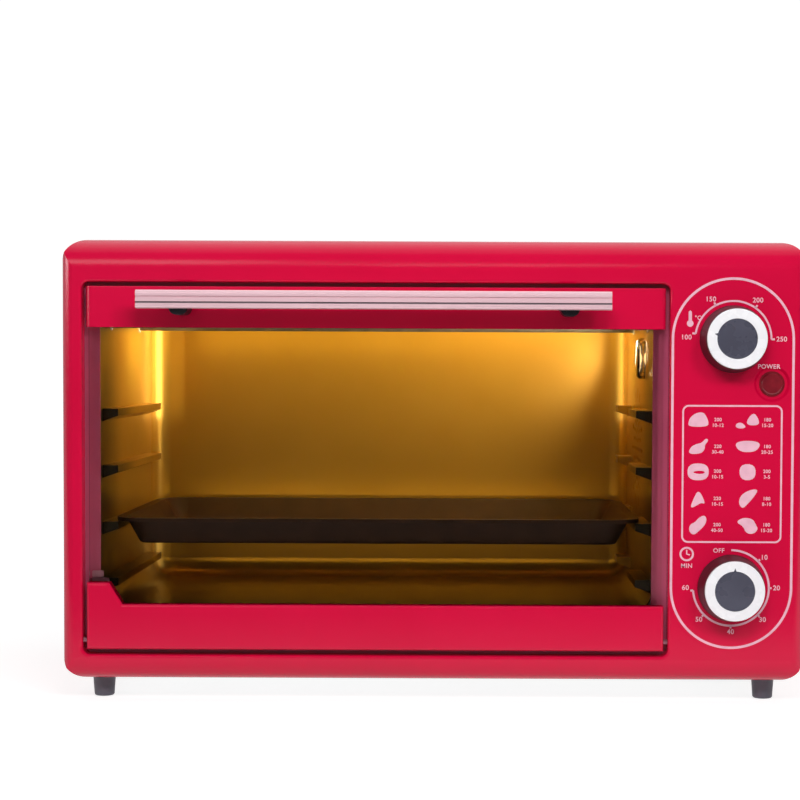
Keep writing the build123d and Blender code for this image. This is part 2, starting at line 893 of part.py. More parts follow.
# Reflector pan that carries the lower elements under the floor
reflector_width = reflector_right - reflector_left
reflector_length = tube_length - 2 * reflector_front_gap
with BuildPart() as lower_reflector:
    with BuildSketch(at_z(reflector_top)):
        with Locations((door_x, tube_mid_y)):
            RectangleRounded(reflector_width, reflector_length, reflector_corner)
    extrude(amount=-reflector_depth)
    with BuildSketch(at_z(reflector_top)):
        with Locations((door_x, tube_mid_y)):
            RectangleRounded(
                reflector_width - 2 * liner,
                reflector_length - 2 * liner,
                reflector_corner - liner,
            )
    extrude(amount=-(reflector_depth - liner), mode=Mode.SUBTRACT)
    with BuildSketch(at_x(reflector_left - liner)):
        with Locations(*[(y, heater_z_lower) for y in heater_ys]):
            Circle(insulator_radius + insulator_play)
    extrude(amount=reflector_width + 2 * liner, mode=Mode.SUBTRACT)
write(lower_reflector, "lower_reflector")

# Heating elements, and the ceramic bushes and terminals at both of their ends
upper_span = (cavity_left - liner, cavity_right + liner)
lower_span = (reflector_left, reflector_right)
elements = {
    "heater_upper_front": (heater_ys[0], heater_z_upper, upper_span),
    "heater_upper_rear": (heater_ys[1], heater_z_upper, upper_span),
    "heater_lower_front": (heater_ys[0], heater_z_lower, lower_span),
    "heater_lower_rear": (heater_ys[1], heater_z_lower, lower_span),
}
for label, (y, z, (left, right)) in elements.items():
    with BuildPart() as heater:
        with BuildSketch(at_x(left - heater_overhang)):
            with Locations((y, z)):
                Circle(heater_radius)
        extrude(amount=right - left + 2 * heater_overhang)
        fillet(heater.edges(), heater_end_radius)
    write(heater, label)

with BuildPart() as heater_insulators:
    for y, z, (left, right) in elements.values():
        for end, outward in ((left, -1), (right, 1)):
            with BuildSketch(at_x(end)):
                with Locations((y, z)):
                    Circle(insulator_collar)
            extrude(amount=outward * insulator_collar_length)
            with BuildSketch(at_x(end)):
                with Locations((y, z)):
                    Circle(insulator_radius)
            extrude(amount=-outward * 2 * liner)
            with BuildSketch(at_x(end - outward * 2 * liner)):
                with Locations((y, z)):
                    Circle(heater_radius)
            extrude(amount=outward * (insulator_collar_length + 2 * liner), mode=Mode.SUBTRACT)
write(heater_insulators, "heater_insulators")

with BuildPart() as heater_terminals:
    for y, z, (left, right) in elements.values():
        for end, outward in ((left - heater_overhang, -1), (right + heater_overhang, 1)):
            with BuildSketch(at_x(end)):
                with Locations((y, z)):
                    Circle(terminal_radius)
            extrude(amount=outward * terminal_length)
            with Locations((end + outward * (terminal_length - terminal_tab_length / 2), y, z)):
                Box(terminal_tab_length, terminal_tab_sheet, 2 * terminal_tab)
write(heater_terminals, "heater_terminals")

def cup(plane, radius, depth, wall, edge):
    """Round cup with its mouth on plane and its rounded bottom a depth along the plane's normal."""
    with BuildPart() as outside:
        with BuildSketch(plane):
            Circle(radius)
        extrude(amount=depth)
        fillet(outside.edges().sort_by(Axis(plane.origin, plane.z_dir))[-1], edge)
    with BuildPart() as inside:
        with BuildSketch(plane):
            Circle(radius - wall)
        extrude(amount=depth - wall)
        fillet(inside.edges().sort_by(Axis(plane.origin, plane.z_dir))[-1], edge - wall)
    return outside.part - inside.part


# Fan housing, a cup with a flange on the outside of the right wall
fan_plane = Plane(origin=(right_wall_outside, fan_y, fan_z), x_dir=(0, 1, 0), z_dir=(1, 0, 0))
housing_cup = cup(fan_plane, housing_radius, housing_depth, liner, housing_edge)
with BuildPart() as fan_housing:
    add(housing_cup)
    with BuildSketch(fan_plane):
        Circle(housing_radius + housing_flange)
        Circle(housing_radius - liner, mode=Mode.SUBTRACT)
    extrude(amount=liner)
    with BuildSketch(fan_plane):
        Circle(fan_shaft_radius + housing_shaft_play)
    extrude(amount=2 * housing_depth, mode=Mode.SUBTRACT)
write(fan_housing, "fan_housing")

# Convection fan, with straight blades on a disc
fan_front_x = right_wall_outside + fan_wall_gap
with BuildPart() as convection_fan:
    with BuildSketch(at_x(fan_front_x + fan_blade_height)):
        with Locations((fan_y, fan_z)):
            Circle(fan_radius)
    extrude(amount=fan_sheet)
    with BuildSketch(at_x(fan_front_x)):
        with Locations((fan_y, fan_z)):
            with PolarLocations((fan_blade_start + fan_radius) / 2, fan_blades):
                Rectangle(fan_radius - fan_blade_start - 2 * fan_blade_inset, fan_sheet)
    extrude(amount=fan_blade_height)
    with BuildSketch(at_x(fan_front_x)):
        with Locations((fan_y, fan_z)):
            Circle(fan_hub_radius)
    extrude(amount=fan_hub_length)
    with BuildSketch(at_x(fan_front_x - fan_shaft_end)):
        with Locations((fan_y, fan_z)):
            Circle(fan_shaft_radius)
    extrude(amount=2 * fan_hub_length, mode=Mode.SUBTRACT)
write(convection_fan, "convection_fan")

# Fan motor: laminated stack with its bearings, and the coil on its lower leg
motor_x = right_wall_outside + housing_depth + motor_gap
stack_height = motor_width + coil_height
stack_mid_z = fan_z - coil_height / 2
with BuildPart() as fan_motor:
    with BuildSketch(at_x(motor_x)):
        with Locations((fan_y, stack_mid_z)):
            RectangleRounded(motor_width, stack_height, motor_corner)
        with Locations((fan_y, fan_z - motor_width / 2 - coil_gap)):
            Rectangle(coil_length + coil_gap, coil_height + 2 * coil_gap, mode=Mode.SUBTRACT)
    extrude(amount=motor_stack)
    with BuildSketch(at_x(motor_x - motor_gap / 2)):
        with Locations((fan_y, fan_z)):
            Circle(motor_bearing_radius)
    extrude(amount=motor_stack + motor_gap)
    with BuildSketch(at_x(motor_x - motor_gap)):
        with Locations((fan_y, fan_z)):
            Circle(fan_shaft_radius + pin_play)
    extrude(amount=motor_stack + 2 * motor_gap, mode=Mode.SUBTRACT)
    with BuildSketch(at_x(right_wall_outside + housing_depth)):
        with Locations((fan_y, stack_mid_z)):
            with GridLocations(0, stack_height - 2 * motor_pillar_inset, 1, 2):
                Circle(motor_pillar_radius)
    extrude(amount=motor_gap)
write(fan_motor, "fan_motor")

with BuildPart() as motor_coil:
    with Locations((motor_x + motor_stack / 2, fan_y, fan_z - motor_width / 2 - coil_gap)):
        Box(motor_stack + 2 * coil_overhang, coil_length, coil_height)
    fillet(motor_coil.edges().filter_by(Axis.Y), coil_corner)
write(motor_coil, "motor_coil")

with BuildPart() as fan_shaft:
    with BuildSketch(at_x(fan_front_x - fan_shaft_end)):
        with Locations((fan_y, fan_z)):
            Circle(fan_shaft_radius)
    extrude(amount=motor_x + motor_stack + motor_gap - fan_front_x)
    chamfer(fan_shaft.edges(), fan_shaft_chamfer)
write(fan_shaft, "fan_shaft")

# Oven lamp: glass cover in the right wall, bulb, and the socket behind it
bulb_x = right_wall_outside + lamp_bulb_radius - lamp_cover_rim / 2
bulb_end = bulb_x - lamp_bulb_radius + lamp_bulb_length
shoulder_x = bulb_x + sqrt(lamp_bulb_radius**2 - lamp_neck_radius**2)
with BuildPart() as oven_lamp_lens:
    with BuildSketch(at_x(right_wall_outside)):
        with Locations((lamp_y, lamp_z)):
            Circle(lamp_lens_flange)
    extrude(amount=lamp_cover_rim)
    with BuildSketch(at_x(right_wall_outside + lamp_cover_rim)):
        with Locations((lamp_y, lamp_z)):
            Circle(lamp_lens_radius)
    extrude(amount=-(lamp_cover_rim + liner + lamp_lens_dome))
    fillet(oven_lamp_lens.faces().sort_by(Axis.X)[0].edges(), lamp_lens_edge)
    with BuildSketch(at_x(right_wall_outside + lamp_cover_rim)):
        with Locations((lamp_y, lamp_z)):
            Circle(lamp_lens_radius - lamp_cover_wall)
    extrude(
        amount=-(lamp_cover_rim + liner + lamp_lens_dome - lamp_cover_wall),
        mode=Mode.SUBTRACT,
    )
write(oven_lamp_lens, "oven_lamp_lens")

with BuildPart() as oven_lamp_bulb:
    with BuildSketch(at_y(lamp_y)):
        with BuildLine():
            ThreePointArc(
                (bulb_x - lamp_bulb_radius, lamp_z),
                (bulb_x, lamp_z + lamp_bulb_radius),
                (shoulder_x, lamp_z + lamp_neck_radius),
            )
            Polyline(
                (shoulder_x, lamp_z + lamp_neck_radius),
                (bulb_end, lamp_z + lamp_neck_radius),
                (bulb_end, lamp_z),
                (bulb_x - lamp_bulb_radius, lamp_z),
            )
        make_face()
    revolve(axis=Axis((bulb_x, lamp_y, lamp_z), (1, 0, 0)))
write(oven_lamp_bulb, "oven_lamp_bulb")

with BuildPart() as oven_lamp_socket:
    with BuildSketch(at_x(right_wall_outside + lamp_cover_rim)):
        with Locations((lamp_y, lamp_z)):
            Circle(lamp_socket_radius)
    extrude(amount=lamp_socket_length)
    fillet(oven_lamp_socket.faces().sort_by(Axis.X)[-1].edges(), lamp_socket_edge)
    with BuildSketch(at_x(right_wall_outside)):
        with Locations((lamp_y, lamp_z)):
            Circle(lamp_bulb_radius + lamp_bulb_play)
    extrude(amount=2 * lamp_bulb_radius + lamp_cover_rim, mode=Mode.SUBTRACT)
    with BuildSketch(at_x(right_wall_outside)):
        with Locations((lamp_y, lamp_z)):
            Circle(lamp_neck_radius)
    extrude(amount=bulb_end - right_wall_outside, mode=Mode.SUBTRACT)
write(oven_lamp_socket, "oven_lamp_socket")

# Control bracket behind the panel, and the heat shield beside the cavity
with BuildPart() as control_bracket:
    with BuildSketch(at_y(bracket_front)):
        with Locations((dial_x, (bracket_low + bracket_high) / 2)):
            RectangleRounded(bracket_width, bracket_high - bracket_low, bracket_corner)
        with Locations((dial_x, temperature_z), (dial_x, timer_z)):
            Circle(panel_hole_radius, mode=Mode.SUBTRACT)
        with Locations(*control_screw_places):
            Circle(screw_radius + screw_play, mode=Mode.SUBTRACT)
        with Locations((indicator_x, indicator_z)):
            Circle(dimple_radius + skin + bracket_dimple_gap, mode=Mode.SUBTRACT)
    extrude(amount=-bracket_sheet)
write(control_bracket, "control_bracket")

with BuildPart() as heat_shield:
    with BuildSketch(at_z(wrap_bottom)):
        with BuildLine():
            Polyline(
                (heat_shield_x, frame_back + heat_shield_front_gap),
                (heat_shield_x, frame_back + heat_shield_depth),
                (heat_shield_x + heat_shield_flange, frame_back + heat_shield_depth),
            )
            offset(amount=heat_shield_sheet / 2, side=Side.BOTH, closed=True)
        make_face()
    extrude(amount=wrap_top - wrap_bottom - heat_shield_top_gap)
write(heat_shield, "heat_shield")


def pointer_cap(z, play, angle):
    """Outline of a knob's cap: a disc with a pointer at an angle from +X."""
    with Locations((dial_x, z)):
        Circle(cap_radius + play)
        Polygon(
            (0, -pointer_half_root - play),
            (pointer_reach + play, 0),
            (0, pointer_half_root + play),
            rotation=angle,
            align=None,
        )


def shaft_outline(z, play=0.0):
    """Outline of a control shaft with its flat."""
    with Locations((dial_x, z)):
        Circle(shaft_radius + play)
    with Locations((dial_x, z - shaft_flat - shaft_radius - play)):
        Rectangle(4 * shaft_radius, 2 * shaft_radius, mode=Mode.SUBTRACT)


knob_back = face_y - knob_gap
knob_front = knob_back - knob_height
dials = {
    "temperature": (temperature_z, temperature_pointer, "thermostat_shaft"),
    "timer": (timer_z, timer_pointer, "timer_shaft"),
}
for dial, (z, pointer, shaft_label) in dials.items():
    # Knob body, hollow at the back round the boss that grips the shaft
    with BuildPart() as knob:
        with BuildSketch(at_y(knob_back)):
            with Locations((dial_x, z)):
                Circle(knob_base_radius)
        extrude(amount=knob_height, taper=knob_taper)
        with BuildSketch(at_y(knob_back)):
            with Locations((dial_x, z)):
                Circle(knob_base_radius - knob_wall)
                Circle(knob_boss_radius, mode=Mode.SUBTRACT)
        extrude(amount=knob_height - knob_wall, taper=knob_taper, mode=Mode.SUBTRACT)
        with BuildSketch(at_y(knob_back)):
            shaft_outline(z)
        extrude(amount=shaft_in_knob, mode=Mode.SUBTRACT)
    write(knob, f"{dial}_knob")
    # Bright ring on the front of the knob, notched for the pointer
    with BuildPart() as ring:
        with BuildSketch(at_y(knob_front)):
            with Locations((dial_x, z)):
                Circle(ring_radius)
        extrude(amount=ring_height)
        fillet(ring.faces().sort_by(Axis.Y)[0].edges(), ring_edge)
        with BuildSketch(at_y(knob_front)):
            pointer_cap(z, cap_play, pointer)
        extrude(amount=ring_height, mode=Mode.SUBTRACT)
    write(ring, f"{dial}_knob_ring")
    # Cap with the pointer
    with BuildPart() as cap:
        with BuildSketch(at_y(knob_front)):
            pointer_cap(z, 0.0, pointer)
        extrude(amount=cap_height)
    write(cap, f"{dial}_knob_cap")
    # Shaft from the control into the knob
    with BuildPart() as shaft:
        with BuildSketch(at_y(bracket_back + shaft_in_case)):
            with Locations((dial_x, z)):
                Circle(shaft_radius)
        extrude(amount=bracket_back + shaft_in_case - knob_back)
        with BuildSketch(at_y(knob_back)):
            shaft_outline(z)
        extrude(amount=shaft_in_knob - shaft_end_gap)
    write(shaft, shaft_label)

# Thermostat body
with BuildPart() as thermostat:
    with BuildSketch(at_y(bracket_back)):
        with Locations((dial_x, temperature_z)):
            RectangleRounded(thermostat_width, thermostat_height, thermostat_corner)
    extrude(amount=-thermostat_depth)
    with BuildSketch(at_y(bracket_back + thermostat_depth)):
        with Locations((dial_x, temperature_z)):
            with GridLocations(thermostat_tab_spacing, 0, 2, 1):
                Rectangle(thermostat_tab_width, thermostat_tab_sheet)
    extrude(amount=-thermostat_tab_length)
    with BuildSketch(at_y(bracket_back)):
        with Locations((dial_x, temperature_z)):
            Circle(shaft_radius + shaft_play)
    extrude(amount=-(shaft_in_case + shaft_end_gap), mode=Mode.SUBTRACT)
    with BuildSketch(at_y(bracket_back)):
        with Locations(*control_screw_places):
            Circle(screw_radius)
    extrude(amount=-control_screw_length, mode=Mode.SUBTRACT)
write(thermostat, "thermostat")

# Timer: clockwork case and the bell on its back
with BuildPart() as timer_case:
    with BuildSketch(at_y(bracket_back)):
        with Locations((dial_x, timer_z)):
            RectangleRounded(timer_size, timer_size, timer_corner)
    extrude(amount=-timer_depth)
    with BuildSketch(at_y(bracket_back + timer_depth)):
        with Locations((dial_x, timer_z)):
            Circle(bell_pillar_radius)
    extrude(amount=-bell_pillar_length)
    with BuildSketch(at_y(bracket_back)):
        with Locations((dial_x, timer_z)):
            Circle(shaft_radius + shaft_play)
    extrude(amount=-(shaft_in_case + shaft_end_gap), mode=Mode.SUBTRACT)
    with BuildSketch(at_y(bracket_back)):
        with Locations(*control_screw_places):
            Circle(screw_radius)
    extrude(amount=-control_screw_length, mode=Mode.SUBTRACT)
write(timer_case, "timer_case")

bell_back = bracket_back + timer_depth + bell_pillar_length + bell_depth
bell_plane = Plane(origin=(dial_x, bell_back, timer_z), x_dir=(1, 0, 0), z_dir=(0, -1, 0))
bell_cup = cup(bell_plane, bell_radius, bell_depth, bell_sheet, bell_edge)
with BuildPart() as timer_bell:
    add(bell_cup)
write(timer_bell, "timer_bell")

# Screws that hold the timer and the thermostat, hidden in the hollow backs of the knobs
control_plane = Plane(origin=(0, face_y, 0), x_dir=(1, 0, 0), z_dir=(0, -1, 0))
with BuildPart() as control_screws:
    add(screws(control_plane, control_screw_places, control_screw_length))
write(control_screws, "control_screws")

# Indicator lamp: red lens in the dimple, and the neon lamp behind it
with BuildPart() as indicator_lens:
    with BuildSketch(at_y(face_y + dimple_depth)):
        with Locations((indicator_x, indicator_z)):
            Circle(lens_radius + lens_flange)
    extrude(amount=lens_flange_thickness)
    with BuildSketch(at_y(face_y + dimple_depth)):
        with Locations((indicator_x, indicator_z)):
            Circle(lens_radius)
    extrude(amount=lens_proud)
    fillet(indicator_lens.faces().sort_by(Axis.Y)[0].edges(), lens_edge)
    with BuildSketch(at_y(face_y + dimple_depth)):
        with Locations((indicator_x, indicator_z)):
            Circle(lens_radius)
    extrude(amount=-lens_length)
    with BuildSketch(at_y(face_y + dimple_depth + lens_length)):
        with Locations((indicator_x, indicator_z)):
            Circle(lens_radius - lens_wall)
    extrude(amount=lens_length - lens_front, mode=Mode.SUBTRACT)
write(indicator_lens, "indicator_lens")

lens_back = face_y + dimple_depth + lens_length
with BuildPart() as indicator_lamp:
    with BuildSketch(at_y(lens_back + holder_past)):
        with Locations((indicator_x, indicator_z)):
            Circle(neon_radius)
    extrude(amount=neon_length + holder_past)
    fillet(indicator_lamp.faces().sort_by(Axis.Y)[0].edges(), neon_radius / 2)
    with BuildSketch(at_y(lens_back)):
        with Locations((indicator_x, indicator_z)):
            Circle(lens_radius)
    extrude(amount=-holder_length)
write(indicator_lamp, "indicator_lamp")

# Terminal block with its wire holes
terminal_x = inlet_x - block_offset
block_y = back_plate_y - block_back_gap
block_bottom = wrap_bottom + skin
with BuildPart() as terminal_block:
    with Locations((terminal_x, block_y, block_bottom + block_size[2] / 2)):
        Box(*block_size)
    fillet(terminal_block.edges().filter_by(Axis.Z), block_corner)
    with BuildSketch(at_z(block_bottom + block_size[2])):
        with Locations((terminal_x, block_y)):
            with GridLocations(*block_hole_spacing, 3, 2):
                Circle(block_hole_radius)
    extrude(amount=-block_hole_depth, mode=Mode.SUBTRACT)
write(terminal_block, "terminal_block")

# Door top trim, a channel closed at the ends and open below
with BuildPart() as door_top_trim:
    with BuildSketch(at_z(door_top - top_trim_height)) as channel:
        with Locations((door_x, (door_front + door_back) / 2)):
            Rectangle(door_width, door_thickness)
        fillet(channel.vertices().group_by(Axis.Y)[0], top_trim_corner)
    extrude(amount=top_trim_height)
    fillet(door_top_trim.faces().sort_by(Axis.Z)[-1].edges(), trim_edge_radius)
    with BuildSketch(at_z(door_top - top_trim_height)) as hollow:
        with Locations((door_x, (door_front + door_back) / 2)):
            Rectangle(door_width - 2 * trim_wall, door_thickness - 2 * trim_wall)
        fillet(hollow.vertices().group_by(Axis.Y)[0], top_trim_corner - trim_wall)
    extrude(amount=top_trim_height - trim_wall, mode=Mode.SUBTRACT)
    with BuildSketch(at_y(door_front)):
        with Locations((door_x, handle_z)):
            with GridLocations(post_spacing, 0, 2, 1):
                Circle(handle_screw_radius + screw_play)
    extrude(amount=-2 * trim_wall, mode=Mode.SUBTRACT)
    with BuildSketch(at_y(door_back)):
        with Locations((door_x, handle_z)):
            with GridLocations(post_spacing, 0, 2, 1):
                Circle(handle_screw_head + handle_screw_head_play)
    extrude(amount=2 * trim_wall, mode=Mode.SUBTRACT)
write(door_top_trim, "door_top_trim")


def bottom_trim_face(inset):
    """Front view of the bottom trim: a strip with a raised step at its left end."""
    left = door_left + inset
    right = door_right - inset
    top = door_bottom + bottom_trim_height
    step_top = door_bottom + step_height
    drift = inset / 2
    Polygon(
        (left, door_bottom + inset),
        (right, door_bottom + inset),
        (right, top + inset),
        (door_left + step_width + step_slope - inset + drift, top + inset),
        (door_left + step_width - inset + drift, step_top + inset),
        (left, step_top + inset),
        align=None,
    )


# Door bottom trim, a channel closed at the ends and open above
hinge_block_bottom = door_bottom + trim_wall
with BuildPart() as door_bottom_trim:
    with BuildSketch(at_y(door_front)):
        bottom_trim_face(0)
    extrude(amount=-door_thickness)
    fillet(door_bottom_trim.faces().sort_by(Axis.Y)[0].edges(), trim_front_radius)
    bottom_edges = door_bottom_trim.edges().filter_by(Axis.X).group_by(Axis.Z)[0]
    fillet(bottom_edges.sort_by(Axis.Y)[-1], trim_heel_radius)
    with BuildSketch(at_y(door_front + trim_front_wall)):
        bottom_trim_face(trim_wall)
    extrude(amount=-(door_thickness - trim_front_wall - trim_wall), mode=Mode.SUBTRACT)
    with BuildSketch(at_x(door_left - trim_wall)):
        with Locations((hinge_y, hinge_z)):
            Circle(pin_radius)
    extrude(amount=door_width + 2 * trim_wall, mode=Mode.SUBTRACT)
write(door_bottom_trim, "door_bottom_trim")

# Door glass
with BuildPart() as door_glass:
    with BuildSketch(at_y(glass_front)):
        with Locations((door_x, (glass_bottom + glass_top) / 2)):
            RectangleRounded(glass_width, glass_top - glass_bottom, glass_corner)
    extrude(amount=-glass_thickness)
    chamfer(door_glass.faces().filter_by(Axis.Y).edges(), glass_chamfer)
write(door_glass, "door_glass")

# Gaskets that grip the glass in both trims
gasket_back = door_back - trim_wall
gasket_width = glass_width - 2 * gasket_side_gap
lower_gasket_width = gasket_width - 2 * (hinge_block_width + gasket_hinge_gap)
gasket_inset = gasket_height / 2 - gasket_grip
gaskets = (
    (gasket_width, door_front + trim_wall, glass_top - gasket_inset),
    (lower_gasket_width, door_front + trim_front_wall, glass_bottom + gasket_inset),
)
with BuildPart() as glass_gaskets:
    for width, front, z in gaskets:
        with Locations((door_x, (front + gasket_back) / 2, z)):
            Box(width, gasket_back - front, gasket_height)
    with BuildSketch(at_y(glass_front)):
        with Locations((door_x, (glass_bottom + glass_top) / 2)):
            Rectangle(glass_width, glass_top - glass_bottom)
    extrude(amount=-glass_thickness, mode=Mode.SUBTRACT)
write(glass_gaskets, "glass_gaskets")

# Handle bar, an extrusion with shallow grooves along its front
with BuildPart() as door_handle:
    with BuildSketch(at_x(door_x - handle_length / 2)) as bar:
        with Locations(((handle_front + handle_back) / 2, handle_z)):
            RectangleRounded(handle_thickness, handle_height, handle_edge)
        with Locations((handle_front, handle_z - handle_groove_drop)):
            with GridLocations(0, handle_groove_spacing, 1, 2):
                Rectangle(2 * handle_groove_depth, handle_groove_width, mode=Mode.SUBTRACT)
    extrude(amount=handle_length)
    with BuildSketch(at_y(handle_back)):
        with Locations((door_x, handle_z)):
            with GridLocations(post_spacing, 0, 2, 1):
                Circle(handle_screw_radius)
    extrude(amount=handle_thickness - handle_screw_cover, mode=Mode.SUBTRACT)
write(door_handle, "door_handle")

# Posts between the handle and the door
post_mid_z = handle_z - handle_height / 2 - post_drop + post_height / 2
post_length = door_front - handle_back
with BuildPart() as handle_posts:
    with BuildSketch(at_y(door_front)):
        with Locations((door_x, post_mid_z)):
            with GridLocations(post_spacing, 0, 2, 1):
                RectangleRounded(post_width, post_height, post_edge)
    extrude(amount=post_length)
    with BuildSketch(at_y(door_front)):
        with Locations((door_x, handle_z)):
            with GridLocations(post_spacing, 0, 2, 1):
                Circle(handle_screw_radius)
    extrude(amount=post_length, mode=Mode.SUBTRACT)
write(handle_posts, "handle_posts")

# Screws from inside the top trim through the posts into the handle
with BuildPart() as handle_screws:
    with BuildSketch(at_y(door_front + trim_wall)):
        with Locations((door_x, handle_z)):
            with GridLocations(post_spacing, 0, 2, 1):
                Circle(handle_screw_radius)
    extrude(amount=trim_wall + post_length + handle_thickness - handle_screw_cover - handle_screw_end_gap)
    with BuildSketch(at_y(door_front + trim_wall + handle_screw_head_height)):
        with Locations((door_x, handle_z)):
            with GridLocations(post_spacing, 0, 2, 1):
                Circle(handle_screw_head)
    extrude(amount=handle_screw_head_height)
write(handle_screws, "handle_screws")

# Hinge pins, each in a block inside the bottom trim
with BuildPart() as hinge_pins:
    for side, end, reach in ((-1, door_left, left_pin_reach), (1, door_right, right_pin_reach)):
        block_x = end - side * (trim_wall + hinge_block_width / 2)
        with Locations((block_x, hinge_y, hinge_block_bottom + hinge_block_height / 2)):
            Box(hinge_block_width, hinge_block_depth, hinge_block_height)
        with BuildSketch(at_x(end - side * trim_wall)):
            with Locations((hinge_y, hinge_z)):
                Circle(pin_radius)
        extrude(amount=side * (trim_wall + door_gap + reach))
write(hinge_pins, "hinge_pins")

# Hinge brackets behind the panel's flange, with a boss for each pin
with BuildPart() as hinge_brackets:
    for side, wall in ((-1, opening_left), (1, opening_right)):
        plate_x = wall + side * (skin + bracket_gap)
        plate_front = face_y + skin + bracket_gap
        with BuildSketch(at_x(plate_x)):
            with Locations(((plate_front + frame_front) / 2, hinge_z + bracket_rise)):
                Rectangle(frame_front - plate_front, bracket_height)
        extrude(amount=side * bracket_thickness)
        with BuildSketch(at_x(plate_x)):
            with Locations((hinge_y, hinge_z)):
                Circle(bracket_boss_radius)
        extrude(amount=side * bracket_boss_length)
        with BuildSketch(at_x(plate_x - side * bracket_bore_margin)):
            with Locations((hinge_y, hinge_z)):
                Circle(pin_radius + pin_play)
        extrude(amount=side * (bracket_boss_length + 2 * bracket_bore_margin), mode=Mode.SUBTRACT)
write(hinge_brackets, "hinge_brackets")

# Door spring round the right pin, with a straight leg at each end
spring_radius = pin_radius + spring_play + spring_wire / 2
spring_x = opening_right + skin + spring_offset
with BuildPart() as door_spring:
    with BuildLine() as coil:
        Helix(
            spring_spacing,
            spring_spacing * spring_turns,
            spring_radius,
            center=(spring_x, hinge_y, hinge_z),
            direction=(1, 0, 0),
        )
    with BuildSketch(Plane(origin=coil.line @ 0, z_dir=coil.line % 0)):
        Circle(spring_wire / 2)
    sweep(path=coil.line, is_frenet=True)
    for end, leg in ((0, -spring_leg), (1, spring_leg)):
        with BuildSketch(Plane(origin=coil.line @ end, z_dir=coil.line % end)):
            Circle(spring_wire / 2)
        extrude(amount=leg)
write(door_spring, "door_spring")

# Door stay: a foot on the back of the trim, and an arc about the hinge with a stop at its tail
pivot = (hinge_y, hinge_z)
quarter_turn = 90.0
stop_start = quarter_turn - stay_stop_end_angle
stop_end = quarter_turn - stay_stop_start_angle
with BuildPart() as door_stay:
    with BuildSketch(at_x(stay_x)):
        with BuildLine():
            outer = CenterArc(pivot, stay_outer, stop_end, stay_stop_start_angle - stay_head_angle)
            inner = CenterArc(pivot, stay_inner, stop_start, stay_stop_end_angle - stay_head_angle)
            stop = CenterArc(pivot, stay_stop_radius, stop_start, stop_end - stop_start)
            Polyline(
                outer @ 1,
                (door_back, (outer @ 1).Y),
                (door_back, (inner @ 1).Y),
                inner @ 1,
            )
            Line(outer @ 0, stop @ 1)
            Line(stop @ 0, inner @ 0)
        make_face()
    extrude(amount=stay_thickness)
    with BuildSketch(at_y(door_back)):
        with Locations((stay_x + stay_foot_width / 2, hinge_z + (stay_inner + stay_outer) / 2)):
            RectangleRounded(stay_foot_width, stay_foot_height, stay_foot_corner)
    extrude(amount=-stay_foot_thickness)
write(door_stay, "door_stay")


def tray_shape(inset, top, depth):
    """Tapered bowl of the tray, drawn in by inset, down from top by depth."""
    width = tray_width - 2 * tray_rim - 2 * inset
    length = tray_length - 2 * tray_rim - 2 * inset
    with BuildPart() as bowl:
        with BuildSketch(at_z(top)):
            with Locations((door_x, tray_mid_y)):
                RectangleRounded(width, length, tray_rim_corner - tray_rim - inset)
        extrude(amount=-depth, taper=tray_taper)
        fillet(bowl.faces().sort_by(Axis.Z)[0].edges(), tray_bend_radius - inset)
    return bowl.part


# Baking tray with a turned rim
tray_outside = tray_shape(0, tray_top, tray_depth + tray_sheet)
tray_inside = tray_shape(tray_sheet, tray_top, tray_depth)
with BuildPart() as baking_tray:
    add(tray_outside)
    with BuildSketch(at_z(tray_top - tray_sheet)):
        with Locations((door_x, tray_mid_y)):
            RectangleRounded(tray_width, tray_length, tray_rim_corner)
    extrude(amount=tray_sheet)
    with BuildSketch(at_z(tray_top)):
        with Locations((door_x, tray_mid_y)):
            RectangleRounded(tray_width, tray_length, tray_rim_corner)
            RectangleRounded(
                tray_width - 2 * tray_sheet,
                tray_length - 2 * tray_sheet,
                tray_rim_corner - tray_sheet,
                mode=Mode.SUBTRACT,
            )
    extrude(amount=-tray_lip)
    add(tray_inside, mode=Mode.SUBTRACT)
write(baking_tray, "baking_tray")
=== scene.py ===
"""Looks of the convection toaster oven: finishes, printed markings, light and camera."""

import math

import bmesh
import bpy
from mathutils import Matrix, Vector


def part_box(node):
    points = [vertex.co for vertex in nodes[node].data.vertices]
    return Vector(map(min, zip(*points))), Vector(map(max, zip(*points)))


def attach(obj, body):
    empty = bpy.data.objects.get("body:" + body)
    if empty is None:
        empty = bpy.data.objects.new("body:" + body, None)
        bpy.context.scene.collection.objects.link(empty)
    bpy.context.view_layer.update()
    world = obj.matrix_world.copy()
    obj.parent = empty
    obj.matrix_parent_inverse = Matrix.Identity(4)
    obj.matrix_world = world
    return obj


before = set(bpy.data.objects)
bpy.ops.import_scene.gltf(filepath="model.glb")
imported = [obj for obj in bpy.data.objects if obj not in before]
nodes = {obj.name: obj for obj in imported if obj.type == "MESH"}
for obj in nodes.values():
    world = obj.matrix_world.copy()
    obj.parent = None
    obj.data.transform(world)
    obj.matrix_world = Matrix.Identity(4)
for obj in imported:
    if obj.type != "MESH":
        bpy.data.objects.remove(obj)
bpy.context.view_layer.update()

MM = 0.001
FACE_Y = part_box("front_panel")[0].y


def middle(name):
    """Middle of a node's box, in millimetres."""
    low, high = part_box(name)
    return (low + high) / 2 / MM


# Middles of the two dials and of the column of controls, in millimetres
DIAL_X = middle("temperature_knob").x
TEMPERATURE_Z = middle("temperature_knob").z
TIMER_Z = middle("timer_knob").z
COLUMN_Z = (TEMPERATURE_Z + TIMER_Z) / 2


# Materials
EVEN = (1, 1, 1)
WHITE = (1, 1, 1, 1)
RAMP_START = 0.3
RAMP_END = 0.7
WANDER_DETAIL = 4.0
GRAIN_DETAIL = 2.0
RELIEF = 0.4 * MM


def new_material(name):
    mat = bpy.data.materials.new(name)
    mat.use_nodes = True
    tree = mat.node_tree
    shader = tree.nodes["Principled BSDF"]
    return mat, tree, shader


